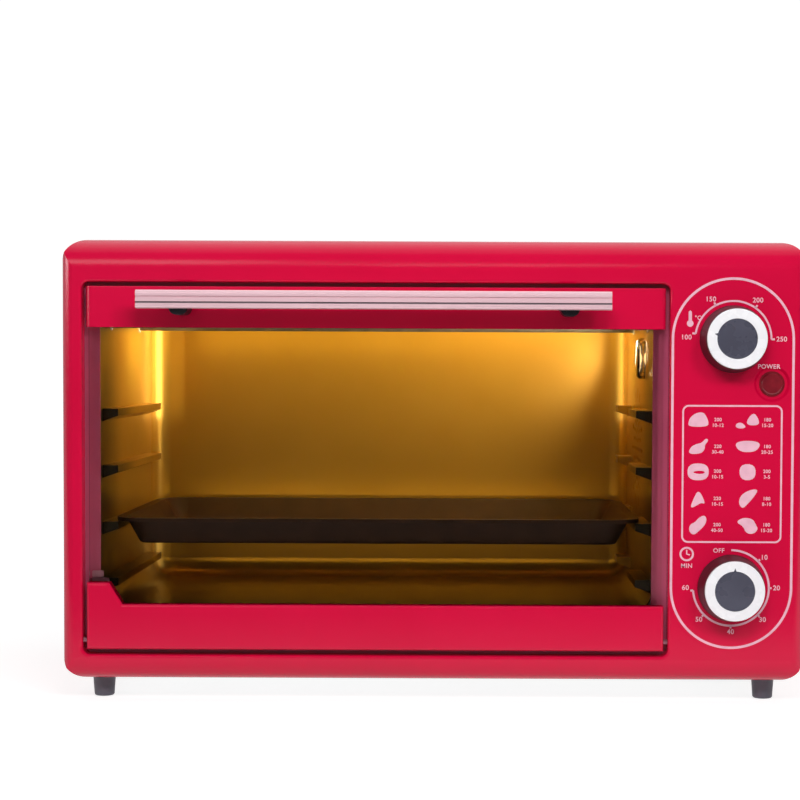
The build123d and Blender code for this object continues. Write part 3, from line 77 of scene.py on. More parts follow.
def node(tree, kind, **values):
    made = tree.nodes.new(kind)
    for key, value in values.items():
        setattr(made, key, value)
    return made


def stretched_place(tree, stretch):
    """A point's place on its own node, stretched along the node's axes."""
    place = node(tree, "ShaderNodeTexCoord")
    mapping = node(tree, "ShaderNodeMapping")
    mapping.inputs["Scale"].default_value = stretch
    tree.links.new(place.outputs["Object"], mapping.inputs["Vector"])
    return mapping.outputs["Vector"]


def noise(tree, scale, detail=3.0, stretch=EVEN):
    made = node(tree, "ShaderNodeTexNoise")
    made.inputs["Scale"].default_value = scale
    made.inputs["Detail"].default_value = detail
    tree.links.new(stretched_place(tree, stretch), made.inputs["Vector"])
    return made.outputs["Fac"]


def cells(tree, scale):
    made = node(tree, "ShaderNodeTexVoronoi")
    made.inputs["Scale"].default_value = scale
    tree.links.new(stretched_place(tree, EVEN), made.inputs["Vector"])
    return made.outputs["Color"]


def ramp(tree, source, low, high):
    made = node(tree, "ShaderNodeValToRGB")
    made.color_ramp.elements[0].position = RAMP_START
    made.color_ramp.elements[0].color = (*low, 1)
    made.color_ramp.elements[1].position = RAMP_END
    made.color_ramp.elements[1].color = (*high, 1)
    tree.links.new(source, made.inputs["Fac"])
    return made.outputs["Color"]


def spread(tree, source, low, high):
    made = node(tree, "ShaderNodeMapRange")
    made.inputs["To Min"].default_value = low
    made.inputs["To Max"].default_value = high
    tree.links.new(source, made.inputs["Value"])
    return made.outputs["Result"]


def bump(tree, shader, source, strength):
    made = node(tree, "ShaderNodeBump")
    made.inputs["Strength"].default_value = strength
    made.inputs["Distance"].default_value = RELIEF
    tree.links.new(source, made.inputs["Height"])
    tree.links.new(made.outputs["Normal"], shader.inputs["Normal"])


def mix_into(tree, share, first, second, out):
    """Sends a mix of two shaders to an output: the first where share is 0, the second at 1."""
    mix = node(tree, "ShaderNodeMixShader")
    tree.links.new(share, mix.inputs["Fac"])
    tree.links.new(first, mix.inputs[1])
    tree.links.new(second, mix.inputs[2])
    tree.links.new(mix.outputs["Shader"], out.inputs["Surface"])


def paint_shade_along(mat, axis, first, last, share):
    """Scales a finish's colour from share at first up to 1 at last, along an axis of the node."""
    tree = mat.node_tree
    shader = tree.nodes["Principled BSDF"]
    base = shader.inputs["Base Color"].links[0].from_socket
    place = node(tree, "ShaderNodeTexCoord")
    split = node(tree, "ShaderNodeSeparateXYZ")
    tree.links.new(place.outputs["Object"], split.inputs["Vector"])
    fade = node(tree, "ShaderNodeMapRange", interpolation_type="SMOOTHSTEP")
    fade.inputs["From Min"].default_value = first
    fade.inputs["From Max"].default_value = last
    fade.inputs["To Min"].default_value = share
    tree.links.new(split.outputs[axis], fade.inputs["Value"])
    scaled = node(tree, "ShaderNodeVectorMath", operation="SCALE")
    tree.links.new(base, scaled.inputs[0])
    tree.links.new(fade.outputs["Result"], scaled.inputs["Scale"])
    tree.links.new(scaled.outputs["Vector"], shader.inputs["Base Color"])


def surface(
    name,
    low,
    high,
    metallic=0.0,
    rough=(0.3, 0.4),
    scale=60.0,
    stretch=EVEN,
    grain=400.0,
    grain_stretch=EVEN,
    depth=0.05,
    coat=0.0,
    coat_rough=0.06,
    specular=0.5,
):
    """A finish whose colour wanders between low and high, with a fine grain in gloss and relief."""
    mat, tree, shader = new_material(name)
    wander = noise(tree, scale, WANDER_DETAIL, stretch)
    fine = noise(tree, grain, GRAIN_DETAIL, grain_stretch)
    tree.links.new(ramp(tree, wander, low, high), shader.inputs["Base Color"])
    tree.links.new(spread(tree, fine, *rough), shader.inputs["Roughness"])
    shader.inputs["Metallic"].default_value = metallic
    shader.inputs["Coat Weight"].default_value = coat
    shader.inputs["Coat Roughness"].default_value = coat_rough
    shader.inputs["Specular IOR Level"].default_value = specular
    bump(tree, shader, fine, depth)
    return mat


red = surface(
    "red_enamel_gloss",
    (0.63, 0.0014, 0.042),
    (0.68, 0.0020, 0.049),
    rough=(0.17, 0.22),
    scale=9.0,
    grain=90.0,
    depth=0.0,
    specular=0.32,
)
# The front frame is red; its colour is painted paler and bluer with the reflection of the door
# glass, through which it is seen
frame_red_painted_haze = surface(
    "frame_red_with_painted_glass_haze",
    (0.52, 0.082, 0.175),
    (0.60, 0.102, 0.205),
    rough=(0.34, 0.44),
    scale=20.0,
    grain=200.0,
    depth=0.01,
)
guide_rose = surface(
    "guide_pale_rose",
    (0.52, 0.24, 0.31),
    (0.60, 0.30, 0.37),
    rough=(0.3, 0.4),
)
zinc = surface(
    "galvanised_sheet",
    (0.50, 0.51, 0.52),
    (0.66, 0.66, 0.66),
    metallic=0.9,
    rough=(0.32, 0.5),
    scale=80.0,
    grain=300.0,
)
# The cavity sheets' golden colour is partly their own warm tint and partly painted warm light of
# the heated cavity
cavity = surface(
    "cavity_sheet",
    (0.73, 0.41, 0.038),
    (0.80, 0.46, 0.052),
    metallic=0.6,
    rough=(0.27, 0.31),
    scale=14.0,
    grain=60.0,
    depth=0.0,
    coat=0.25,
    coat_rough=0.24,
)
black = surface(
    "black_moulding",
    (0.012, 0.011, 0.016),
    (0.022, 0.020, 0.027),
    rough=(0.28, 0.42),
    grain=900.0,
    depth=0.08,
)
foot_plastic = surface(
    "foot_moulding",
    (0.078, 0.076, 0.098),
    (0.118, 0.116, 0.146),
    rough=(0.45, 0.6),
    grain=700.0,
    depth=0.12,
)
ring_white = surface(
    "ring_satin_white",
    (0.88, 0.87, 0.90),
    (0.95, 0.94, 0.97),
    rough=(0.22, 0.32),
    scale=30.0,
    grain=120.0,
    depth=0.0,
    coat=0.3,
)
cap_grey = surface(
    "cap_dark_grey",
    (0.066, 0.066, 0.094),
    (0.084, 0.084, 0.118),
    rough=(0.22, 0.34),
    grain=120.0,
    depth=0.0,
)
handle_metal = surface(
    "handle_anodised",
    (0.84, 0.54, 0.60),
    (0.92, 0.61, 0.67),
    metallic=0.2,
    rough=(0.24, 0.34),
    scale=40.0,
    stretch=(0.1, 1, 1),
    grain=900.0,
    grain_stretch=(0.03, 1, 1),
    depth=0.05,
)
# Dark colour painted on the handle's lower groove as the shade that falls in it
handle_groove_painted_shade = surface(
    "handle_groove_painted_shade",
    (0.16, 0.12, 0.13),
    (0.22, 0.16, 0.18),
    rough=(0.4, 0.5),
    stretch=(0.1, 1, 1),
)
steel = surface(
    "plated_steel",
    (0.52, 0.52, 0.53),
    (0.64, 0.64, 0.65),
    metallic=1.0,
    rough=(0.24, 0.38),
    grain=500.0,
)
pin_steel = surface(
    "hinge_steel",
    (0.30, 0.13, 0.17),
    (0.38, 0.17, 0.22),
    metallic=0.6,
    rough=(0.3, 0.42),
    grain=500.0,
)
tube = surface(
    "element_tube",
    (0.23, 0.20, 0.18),
    (0.34, 0.30, 0.27),
    metallic=0.8,
    rough=(0.4, 0.6),
    scale=120.0,
)
porcelain = surface(
    "porcelain",
    (0.82, 0.80, 0.74),
    (0.90, 0.88, 0.83),
    rough=(0.35, 0.5),
    depth=0.08,
)
silicone = surface(
    "gasket_silicone",
    (0.03, 0.028, 0.03),
    (0.045, 0.042, 0.045),
    rough=(0.6, 0.75),
    depth=0.1,
)
iron = surface(
    "motor_laminations",
    (0.26, 0.27, 0.29),
    (0.38, 0.39, 0.41),
    metallic=0.9,
    rough=(0.35, 0.5),
    grain=1400.0,
    grain_stretch=(1, 0.02, 0.02),
    depth=0.4,
)
copper = surface(
    "coil_tape",
    (0.38, 0.08, 0.03),
    (0.52, 0.14, 0.05),
    rough=(0.4, 0.55),
    grain=900.0,
    grain_stretch=(1, 0.02, 0.02),
    depth=0.3,
)
fan_metal = surface(
    "fan_sheet",
    (0.66, 0.66, 0.67),
    (0.78, 0.78, 0.79),
    metallic=1.0,
    rough=(0.28, 0.42),
    grain=500.0,
)
tray_finish = surface(
    "tray_non_stick",
    (0.028, 0.011, 0.004),
    (0.044, 0.018, 0.007),
    rough=(0.42, 0.55),
    scale=70.0,
    grain=800.0,
    depth=0.1,
    specular=0.2,
)
ink = surface(
    "white_print",
    (0.82, 0.44, 0.55),
    (0.90, 0.52, 0.63),
    rough=(0.35, 0.5),
    scale=200.0,
    grain=900.0,
    depth=0.02,
)
lamp_holder = surface(
    "lamp_holder",
    (0.30, 0.02, 0.03),
    (0.42, 0.03, 0.04),
    rough=(0.4, 0.55),
)

# Painted shade: the cavity's sheets are coloured darker at the mouth and towards the bottom, where
# less of the light inside falls: depths behind the panel's face in metres, and shares of the back
# wall's height
MOUTH_PAINTED_SHADE = (0.030, 0.120)
MOUTH_SHADE_SHARE = 0.06
LOW_PAINTED_SHADE = (0.35, 0.95)
LOW_SHADE_SHARE = 0.62
back_wall_low, back_wall_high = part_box("cavity_back_wall")
back_wall_height = back_wall_high.z - back_wall_low.z
paint_shade_along(cavity, "Y", *[FACE_Y + depth for depth in MOUTH_PAINTED_SHADE], MOUTH_SHADE_SHARE)
paint_shade_along(
    cavity,
    "Z",
    *[back_wall_low.z + share * back_wall_height for share in LOW_PAINTED_SHADE],
    LOW_SHADE_SHARE,
)


def clear_glass(name, colour, density, index, rough=(0.01, 0.03)):
    """Glass that lets shadow rays through, so that what is behind it is lit."""
    mat, tree, shader = new_material(name)
    shader.inputs["Base Color"].default_value = (*colour, 1)
    shader.inputs["Transmission Weight"].default_value = 1.0
    shader.inputs["IOR"].default_value = index
    smear = noise(tree, 24.0, 5.0, (1, 1, 0.4))
    tree.links.new(spread(tree, smear, *rough), shader.inputs["Roughness"])
    see = node(tree, "ShaderNodeBsdfTransparent")
    see.inputs["Color"].default_value = (*[c * density for c in colour], 1)
    path = node(tree, "ShaderNodeLightPath")
    mix_into(
        tree,
        path.outputs["Is Shadow Ray"],
        shader.outputs["BSDF"],
        see.outputs["BSDF"],
        tree.nodes["Material Output"],
    )
    return mat


door_pane = clear_glass("door_pane_glass", (0.96, 0.93, 0.90), density=0.14, index=1.12)
lamp_glass = clear_glass(
    "lamp_cover_glass", (0.98, 0.95, 0.88), density=0.98, index=1.45, rough=(0.05, 0.12)
)

bulb_glow, tree, shader = new_material("bulb_glow")
tree.links.new(
    ramp(tree, noise(tree, 90.0), (1.0, 0.70, 0.34), (1.0, 0.80, 0.48)),
    shader.inputs["Base Color"],
)
shader.inputs["Emission Color"].default_value = (1.0, 0.72, 0.36, 1)
shader.inputs["Emission Strength"].default_value = 1.2
shader.inputs["Roughness"].default_value = 0.3

lens_red, tree, shader = new_material("lens_dark_red")
tree.links.new(
    ramp(tree, noise(tree, 160.0), (0.16, 0.004, 0.012), (0.24, 0.008, 0.018)),
    shader.inputs["Base Color"],
)
shader.inputs["Roughness"].default_value = 0.22
shader.inputs["Coat Weight"].default_value = 0.5
bump(tree, shader, cells(tree, 700.0), 0.25)

finishes = {
    red: "front_panel outer_wrap door_top_trim door_bottom_trim",
    frame_red_painted_haze: "front_frame",
    guide_rose: "stay_guide",
    pin_steel: "hinge_pins door_stay",
    zinc: "back_panel base_plate lower_reflector fan_housing control_bracket heat_shield "
    "hinge_brackets timer_case thermostat",
    cavity: "cavity_left_wall cavity_right_wall cavity_ceiling cavity_floor cavity_back_wall",
    black: "cord_grommet handle_posts terminal_block temperature_knob timer_knob",
    foot_plastic: "feet",
    ring_white: "temperature_knob_ring timer_knob_ring",
    cap_grey: "temperature_knob_cap timer_knob_cap",
    handle_metal: "door_handle",
    steel: "foot_screws casing_screws control_screws handle_screws "
    "door_spring thermostat_shaft timer_shaft fan_shaft timer_bell heater_terminals",
    tube: "heater_upper_front heater_upper_rear heater_lower_front heater_lower_rear",
    porcelain: "heater_insulators oven_lamp_socket",
    silicone: "glass_gaskets",
    iron: "fan_motor",
    copper: "motor_coil",
    fan_metal: "convection_fan",
    tray_finish: "baking_tray",
    door_pane: "door_glass",
    lamp_glass: "oven_lamp_lens",
    bulb_glow: "oven_lamp_bulb",
    lens_red: "indicator_lens",
    lamp_holder: "indicator_lamp",
}
for mat, names in finishes.items():
    for name in names.split():
        nodes[name].data.materials.clear()
        nodes[name].data.materials.append(mat)

# Painted shade: the lower groove along the handle's face is coloured darker than the face, for the
# shade in it: its depths behind the face, its heights from the handle's middle, and the most that
# its faces turn to the handle's ends
GROOVE_DEPTHS = (0.2 * MM, 1.0 * MM)
GROOVE_HEIGHTS = (-3.4 * MM, -1.0 * MM)
GROOVE_END_TURN = 0.5
handle_mesh = nodes["door_handle"].data
handle_mesh.materials.append(handle_groove_painted_shade)
handle_face = min(vertex.co.y for vertex in handle_mesh.vertices)
handle_heights = [vertex.co.z for vertex in handle_mesh.vertices]
handle_z = (min(handle_heights) + max(handle_heights)) / 2
groove_start, groove_end = [handle_face + depth for depth in GROOVE_DEPTHS]
for face in handle_mesh.polygons:
    sunk = groove_start < face.center.y < groove_end
    lower = GROOVE_HEIGHTS[0] < face.center.z - handle_z < GROOVE_HEIGHTS[1]
    if sunk and lower and abs(face.normal.x) < GROOVE_END_TURN:
        face.material_index = 1


# Printed markings: thin raised ink on the panel's face, drawn in millimetres
INK_DEPTH = 0.12 * MM
INK_BACK = FACE_Y - 0.01 * MM
INK_FRONT = INK_BACK - INK_DEPTH
FONT_SIZE = 1.42  # Times the letters' height
STROKE_GROWTH = 0.07 * MM
LETTER_SPACING = 1.08


def put_on_panel(name, mesh, location=(0, 0, 0), rotation=(0, 0, 0)):
    made = bpy.data.objects.new(name, mesh)
    bpy.context.scene.collection.objects.link(made)
    made.location = location
    made.rotation_euler = rotation
    mesh.materials.clear()
    mesh.materials.append(ink)
    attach(made, "oven_body")


def printed(name, bm):
    """Makes a piece of ink from slabs and borders."""
    mesh = bpy.data.meshes.new(name)
    bm.to_mesh(mesh)
    bm.free()
    put_on_panel(name, mesh)


def words(name, text, x, z, height):
    """A printed number or word, centred on x and z, with letters of the given height."""
    curve = bpy.data.curves.new(name, "FONT")
    curve.body = text
    curve.size = height * MM * FONT_SIZE
    curve.align_x = "CENTER"
    curve.align_y = "CENTER"
    curve.extrude = INK_DEPTH / 2
    curve.offset = STROKE_GROWTH
    curve.space_character = LETTER_SPACING
    holder = bpy.data.objects.new(name + "_curve", curve)
    bpy.context.scene.collection.objects.link(holder)
    bpy.context.view_layer.update()
    mesh = bpy.data.meshes.new_from_object(
        holder.evaluated_get(bpy.context.evaluated_depsgraph_get())
    )
    bpy.data.objects.remove(holder)
    bpy.data.curves.remove(curve)
    mesh.name = name
    put_on_panel(
        name,
        mesh,
        location=(x * MM, INK_BACK - INK_DEPTH / 2, z * MM),
        rotation=(math.pi / 2, 0, 0),
    )


def slab(bm, outline, holes=()):
    """Closed thin slab of ink from an outline and its holes."""
    rings = []
    for loop in (outline, *holes):
        near = [bm.verts.new((x * MM, INK_FRONT, z * MM)) for x, z in loop]
        far = [bm.verts.new((x * MM, INK_BACK, z * MM)) for x, z in loop]
        for i in range(len(loop)):
            j = (i + 1) % len(loop)
            bm.faces.new((near[i], near[j], far[j], far[i]))
        rings.append((near, far))
    for side in (0, 1):
        edges = []
        for ring in rings:
            verts = ring[side]
            for i in range(len(verts)):
                edges.append(bm.edges.get((verts[i], verts[(i + 1) % len(verts)])))
        bmesh.ops.triangle_fill(bm, use_beauty=True, edges=edges)
    bmesh.ops.recalc_face_normals(bm, faces=bm.faces)


def arc(cx, cz, radius, start, end, steps):
    """Points along an arc, from start to end in degrees."""
    return [
        (
            cx + radius * math.cos(math.radians(start + (end - start) * i / steps)),
            cz + radius * math.sin(math.radians(start + (end - start) * i / steps)),
        )
        for i in range(steps + 1)
    ]


def rounded(cx, cz, width, height, radius, steps):
    """Outline of a rounded rectangle, with the given steps in each corner."""
    out = []
    for sx, sz, start in ((1, 1, 0), (-1, 1, 90), (-1, -1, 180), (1, -1, 270)):
        out += arc(
            cx + sx * (width / 2 - radius),
            cz + sz * (height / 2 - radius),
            radius,
            start,
            start + 90,
            steps,
        )
    return out


def ribbon(points, width):
    """Outline of an open line of the given width."""
    left, right = [], []
    for i, (x, z) in enumerate(points):
        before = points[max(i - 1, 0)]
        after = points[min(i + 1, len(points) - 1)]
        dx, dz = after[0] - before[0], after[1] - before[1]
        length = math.hypot(dx, dz)
        nx, nz = -dz / length * width / 2, dx / length * width / 2
        left.append((x + nx, z + nz))
        right.append((x - nx, z - nz))
    return left + right[::-1]


def border(name, cx, cz, width, height, radius, line, steps):
    """Closed line of ink round a rounded rectangle, made of quads between equal loops."""
    outer = rounded(cx, cz, width + line, height + line, radius + line / 2, steps)
    inner = rounded(cx, cz, width - line, height - line, radius - line / 2, steps)
    bm = bmesh.new()
    loops = [
        [bm.verts.new((x * MM, y, z * MM)) for x, z in loop]
        for loop, y in (
            (outer, INK_FRONT),
            (inner, INK_FRONT),
            (inner, INK_BACK),
            (outer, INK_BACK),
        )
    ]
    count = len(outer)
    for near, far in zip(loops, loops[1:] + loops[:1]):
        for i in range(count):
            j = (i + 1) % count
            bm.faces.new((near[i], near[j], far[j], far[i]))
    bmesh.ops.recalc_face_normals(bm, faces=bm.faces)
    printed(name, bm)


# Outline round both dials, and the frame of the table between them
OUTLINE_RADIUS = 41.7
TABLE_X = DIAL_X - 0.6
TABLE_Z = COLUMN_Z - 7.1
border(
    "print_outline",
    DIAL_X,
    COLUMN_Z,
    width=2 * OUTLINE_RADIUS,
    height=TEMPERATURE_Z - TIMER_Z + 2 * OUTLINE_RADIUS,
    radius=OUTLINE_RADIUS,
    line=1.7,
    steps=36,
)
border(
    "print_table_frame",
    TABLE_X + 0.5,
    TABLE_Z,
    width=68.2,
    height=94.4,
    radius=4.0,
    line=1.2,
    steps=10,
)

# Dial scales, with angles in degrees from the dial's right
SCALE_RADIUS = 26.3
TICK_LINE = 1.3
NUMBER_HEIGHT = 3.3
WORD_HEIGHT = 3.0


def polar(cz, radius, angle):
    a = math.radians(angle)
    return DIAL_X + radius * math.cos(a), cz + radius * math.sin(a)


def dial(name, cz, start, end, steps, line, tick_radius, ticks, numbers):
    """A dial's scale with its ticks as one piece, and its numbers as text, angle and radius."""
    bm = bmesh.new()
    slab(bm, ribbon(arc(DIAL_X, cz, SCALE_RADIUS, start, end, steps), line))
    for angle in ticks:
        tick = [polar(cz, SCALE_RADIUS, angle), polar(cz, tick_radius, angle)]
        slab(bm, ribbon(tick, TICK_LINE))
    printed(f"print_{name}_scale", bm)
    for text, angle, radius in numbers:
        words(f"print_{name}_{text}", text, *polar(cz, radius, angle), NUMBER_HEIGHT)


dial(
    "temperature",
    TEMPERATURE_Z,
    start=172,
    end=0,
    steps=60,
    line=1.3,
    tick_radius=28.6,
    ticks=(172, 118, 55, 0),
    numbers=(("100", 178, 32.5), ("150", 120, 31.6), ("200", 58, 31.6), ("250", 0, 33.4)),
)
dial(
    "timer",
    TIMER_Z,
    start=90,
    end=-176,
    steps=80,
    line=1.4,
    tick_radius=28.2,
    ticks=(45, 0, -45, -90, -135, -176),
    numbers=(
        ("10", 43, 31.2),
        ("20", 0, 31.6),
        ("30", -45, 31.2),
        ("40", -90, 30.6),
        ("50", -135, 31.2),
        ("60", 180, 31.6),
    ),
)
words("print_timer_off", "OFF", DIAL_X - 8.7, TIMER_Z + 25.9, WORD_HEIGHT)
words("print_lamp_word", "POWER", DIAL_X + 24.8, TEMPERATURE_Z - 18.9, WORD_HEIGHT)

# Clock sign: a rim, and two hands from its middle
CLOCK_X = DIAL_X - 30.9
CLOCK_Z = TIMER_Z + 23.5
CLOCK_RADIUS = 5.0
CLOCK_BORE = 3.7
HAND_LINE = 0.9
rim, bore = [arc(CLOCK_X, CLOCK_Z, radius, 0, 350, 40) for radius in (CLOCK_RADIUS, CLOCK_BORE)]
hands = [(CLOCK_X, CLOCK_Z + 3.0), (CLOCK_X, CLOCK_Z), (CLOCK_X + 2.2, CLOCK_Z - 0.6)]
bm = bmesh.new()
slab(bm, rim, [bore])
slab(bm, ribbon(hands, HAND_LINE))
printed("print_clock", bm)
words("print_minutes", "MIN", CLOCK_X, CLOCK_Z - 8.3, WORD_HEIGHT)

# Thermometer sign: a round bulb under a stem with a pointed top
STEM_X = DIAL_X - 29.9
STEM_Z = TEMPERATURE_Z + 15.1
STEM_HALF_WIDTH = 1.1
STEM_SHOULDER = 3.6
STEM_TOP = 4.6
BULB_DROP = 4.4
BULB_RADIUS = 2.3
bm = bmesh.new()
slab(
    bm,
    [
        *arc(STEM_X, STEM_Z - BULB_DROP, BULB_RADIUS, 120, 420, 24),
        (STEM_X + STEM_HALF_WIDTH, STEM_Z + STEM_SHOULDER),
        (STEM_X, STEM_Z + STEM_TOP),
        (STEM_X - STEM_HALF_WIDTH, STEM_Z + STEM_SHOULDER),
    ],
)
printed("print_thermometer", bm)
words("print_degrees", "°C", STEM_X + 5.4, STEM_Z - 0.6, height=2.8)


# Food signs: plain silhouettes, each drawn round its own middle and then placed
def superellipse(width, height, power, steps=36):
    out = []
    for i in range(steps):
        a = 2 * math.pi * i / steps
        c, s = math.cos(a), math.sin(a)
        x = abs(c) ** (2 / power) * math.copysign(width / 2, c)
        z = abs(s) ** (2 / power) * math.copysign(height / 2, s)
        out.append((x, z))
    return out


def shift(points, dx, dz):
    return [(x + dx, z + dz) for x, z in points]


def smooth(points):
    """Rounds a polygon by cutting its corners twice, each time at a quarter of its sides."""
    for _ in range(2):
        out = []
        for i, (x, z) in enumerate(points):
            nx, nz = points[(i + 1) % len(points)]
            out.append((0.75 * x + 0.25 * nx, 0.75 * z + 0.25 * nz))
            out.append((0.25 * x + 0.75 * nx, 0.25 * z + 0.75 * nz))
        points = out
    return points


ROAST = smooth(
    [(-7, -4.5), (6.4, -4.5), (7, -1), (5.2, 3), (3.2, 5.6), (-1.5, 5.2), (-5.6, 2.2), (-7, -1)]
)
PIE = smooth([(-2.5, -3), (3.4, 6.2), (7.6, 0.8), (7.4, -3.6)])
CRUMB = smooth([(-8.6, -2.6), (-5, -1.0), (-1, -4.4), (-4, -5.8), (-8.2, -5.2)])
LEG = smooth(
    [
        (-7, -5),
        (2.2, -4.6),
        (4.6, -1.2),
        (4.4, 1.4),
        (7.2, 4.6),
        (5.4, 6.2),
        (2.2, 2.8),
        (-1, 2.2),
        (-5.4, 0),
    ]
)
BOWL = smooth([(-9.2, 2.0), (-5, 4.4), (5, 4.4), (9.2, 2.0), (5.4, -3.4), (-5.4, -3.4)])
BUN = superellipse(14.6, 11.6, 2.6)
BUN_SLIT = smooth([(-4.4, -0.2), (0, 0.9), (4.6, 0.4), (4.4, -1.2), (0, -1.6)])
TOAST = smooth([(-5.6, 5.4), (5.6, 5.4), (5.4, -5.6), (-5.4, -5.6)])
SLICE = smooth([(0.6, 7), (5.6, -3.4), (2.0, -2.6), (-0.6, -4.4), (-5.4, -6.6), (-3.2, 0)])
SAUSAGE = smooth(
    [
        (7, 7),
        (2, 6.6),
        (-4.2, 3.2),
        (-6.2, -2.4),
        (-3.4, -6.8),
        (0.6, -3.0),
        (4.0, 1.0),
        (6.6, 4.6),
    ]
)
PEANUT = smooth(
    [
        (4.6, 7.2),
        (0.6, 5.2),
        (-1.6, 2.2),
        (-5.6, 0.4),
        (-6, -4.4),
        (-2.8, -7),
        (1.4, -3.6),
        (5.2, 0.4),
        (6.4, 4.4),
    ]
)
FISH = smooth(
    [
        (-7.8, 2.4),
        (-2.6, 5.6),
        (4.0, 4.6),
        (6.2, 0.6),
        (7.8, -2.6),
        (4.4, -6.0),
        (-0.6, -5.4),
        (-2.6, -0.6),
    ]
)

# The table's rows, each with two signs as name, outlines, holes and the lines of its note
SIGNS = (
    (("roast", [ROAST], [], "200 10-12"), ("pie", [PIE, CRUMB], [], "180 15-20")),
    (("leg", [LEG], [], "220 30-40"), ("bowl", [BOWL], [], "180 20-25")),
    (("bun", [BUN], [BUN_SLIT], "200 10-15"), ("toast", [TOAST], [], "200 3-5")),
    (("slice", [SLICE], [], "220 10-15"), ("sausage", [SAUSAGE], [], "180 8-10")),
    (("peanut", [PEANUT], [], "200 40-50"), ("fish", [FISH], [], "180 15-20")),
)
SIGN_X = (TABLE_X - 22.9, TABLE_X + 11.3)
SIGN_Z = [TABLE_Z + rise for rise in (37.2, 18.7, 1.5, -17.4, -35.6)]
NOTE_INSET = 13.4
NOTE_RISE = 0.4
NOTE_SPACING = 3.9
NOTE_HEIGHT = 2.3
for row, (pair, z) in enumerate(zip(SIGNS, SIGN_Z)):
    for column, ((name, outlines, holes, note), x) in enumerate(zip(pair, SIGN_X)):
        bm = bmesh.new()
        for outline in outlines:
            slab(bm, shift(outline, x, z), [shift(hole, x, z) for hole in holes])
        printed(f"print_sign_{name}", bm)
        for line, text in enumerate(note.split()):
            words(
                f"print_note_{row}_{column}_{line}",
                text,
                x + NOTE_INSET,
                z + NOTE_RISE - NOTE_SPACING * line,
                NOTE_HEIGHT,
            )


# Floor and backdrop
FLOOR_REACH = 4
FLOOR_FRONT = FACE_Y - 0.33
FLOOR_DROP = 0.4 * MM


def seen_rays(tree):
    """1 for rays that show the background: from the camera, by reflection and through glass."""
    path = node(tree, "ShaderNodeLightPath")
    total = path.outputs["Is Camera Ray"]
    for kind in ("Is Glossy Ray", "Is Transmission Ray"):
        add = node(tree, "ShaderNodeMath", operation="MAXIMUM")
        tree.links.new(total, add.inputs[0])
        tree.links.new(path.outputs[kind], add.inputs[1])
        total = add.outputs["Value"]
    return total


def floor_material():
    """A white floor with light of its own, less near the oven, so that a shadow shows there."""
    mat, tree, shader = new_material("floor_white")
    tree.links.new(
        ramp(tree, noise(tree, 1.5), (0.93, 0.93, 0.93), (0.95, 0.95, 0.95)),
        shader.inputs["Base Color"],
    )
    shader.inputs["Roughness"].default_value = 0.7
    place = node(tree, "ShaderNodeTexCoord")
    away = node(tree, "ShaderNodeVectorMath", operation="LENGTH")
    tree.links.new(place.outputs["Object"], away.inputs[0])
    own_light = node(tree, "ShaderNodeMapRange", interpolation_type="SMOOTHSTEP")
    own_light.inputs["From Min"].default_value = 0.32
    own_light.inputs["From Max"].default_value = 0.95
    own_light.inputs["To Min"].default_value = 0.80
    own_light.inputs["To Max"].default_value = 0.95
    tree.links.new(away.outputs["Value"], own_light.inputs["Value"])
    glow = node(tree, "ShaderNodeEmission")
    tree.links.new(own_light.outputs["Result"], glow.inputs["Strength"])
    pale = node(tree, "ShaderNodeBsdfDiffuse")
    pale.inputs["Color"].default_value = (0.40, 0.40, 0.40, 1)
    both = node(tree, "ShaderNodeAddShader")
    tree.links.new(glow.outputs["Emission"], both.inputs[0])
    tree.links.new(pale.outputs["BSDF"], both.inputs[1])
    mix_into(
        tree,
        seen_rays(tree),
        shader.outputs["BSDF"],
        both.outputs["Shader"],
        tree.nodes["Material Output"],
    )
    return mat


def studio_world():
    """Soft light all round. Reflections see a pale backdrop behind the oven and a dimmer room
    in front of it."""
    world = bpy.data.worlds.new("studio")
    world.use_nodes = True
    tree = world.node_tree
    tree.nodes.clear()
    soft = node(tree, "ShaderNodeBackground")
    soft.inputs["Color"].default_value = WHITE
    soft.inputs["Strength"].default_value = 0.26
    seen = node(tree, "ShaderNodeBackground")
    seen.inputs["Color"].default_value = WHITE
    path = node(tree, "ShaderNodeLightPath")
    direction = node(tree, "ShaderNodeTexCoord")
    split = node(tree, "ShaderNodeSeparateXYZ")
    tree.links.new(direction.outputs["Generated"], split.inputs["Vector"])
    room = node(tree, "ShaderNodeMapRange")
    room.inputs["From Min"].default_value = 0.15
    room.inputs["From Max"].default_value = -0.25
    room.inputs["To Min"].default_value = 0.0
    room.inputs["To Max"].default_value = 0.95
    tree.links.new(split.outputs["Y"], room.inputs["Value"])
    mirrored = node(tree, "ShaderNodeMath", operation="MULTIPLY")
    tree.links.new(room.outputs["Result"], mirrored.inputs[0])
    tree.links.new(path.outputs["Is Glossy Ray"], mirrored.inputs[1])
    strength = node(tree, "ShaderNodeMath", operation="SUBTRACT")
    strength.inputs[0].default_value = 1.05
    tree.links.new(mirrored.outputs["Value"], strength.inputs[1])
    tree.links.new(strength.outputs["Value"], seen.inputs["Strength"])
    mix_into(
        tree,
        seen_rays(tree),
        soft.outputs["Background"],
        seen.outputs["Background"],
        node(tree, "ShaderNodeOutputWorld"),
    )
    return world


mesh = bpy.data.meshes.new("floor")
bm = bmesh.new()
corners = (
    (-FLOOR_REACH, FLOOR_FRONT),
    (FLOOR_REACH, FLOOR_FRONT),
    (FLOOR_REACH, FLOOR_REACH),
    (-FLOOR_REACH, FLOOR_REACH),
)
bm.faces.new([bm.verts.new((x, y, 0)) for x, y in corners])
bm.to_mesh(mesh)
bm.free()
floor = bpy.data.objects.new("floor", mesh)
bpy.context.scene.collection.objects.link(floor)
floor.location = (0, 0, -FLOOR_DROP)
mesh.materials.append(floor_material())
bpy.context.scene.world = studio_world()


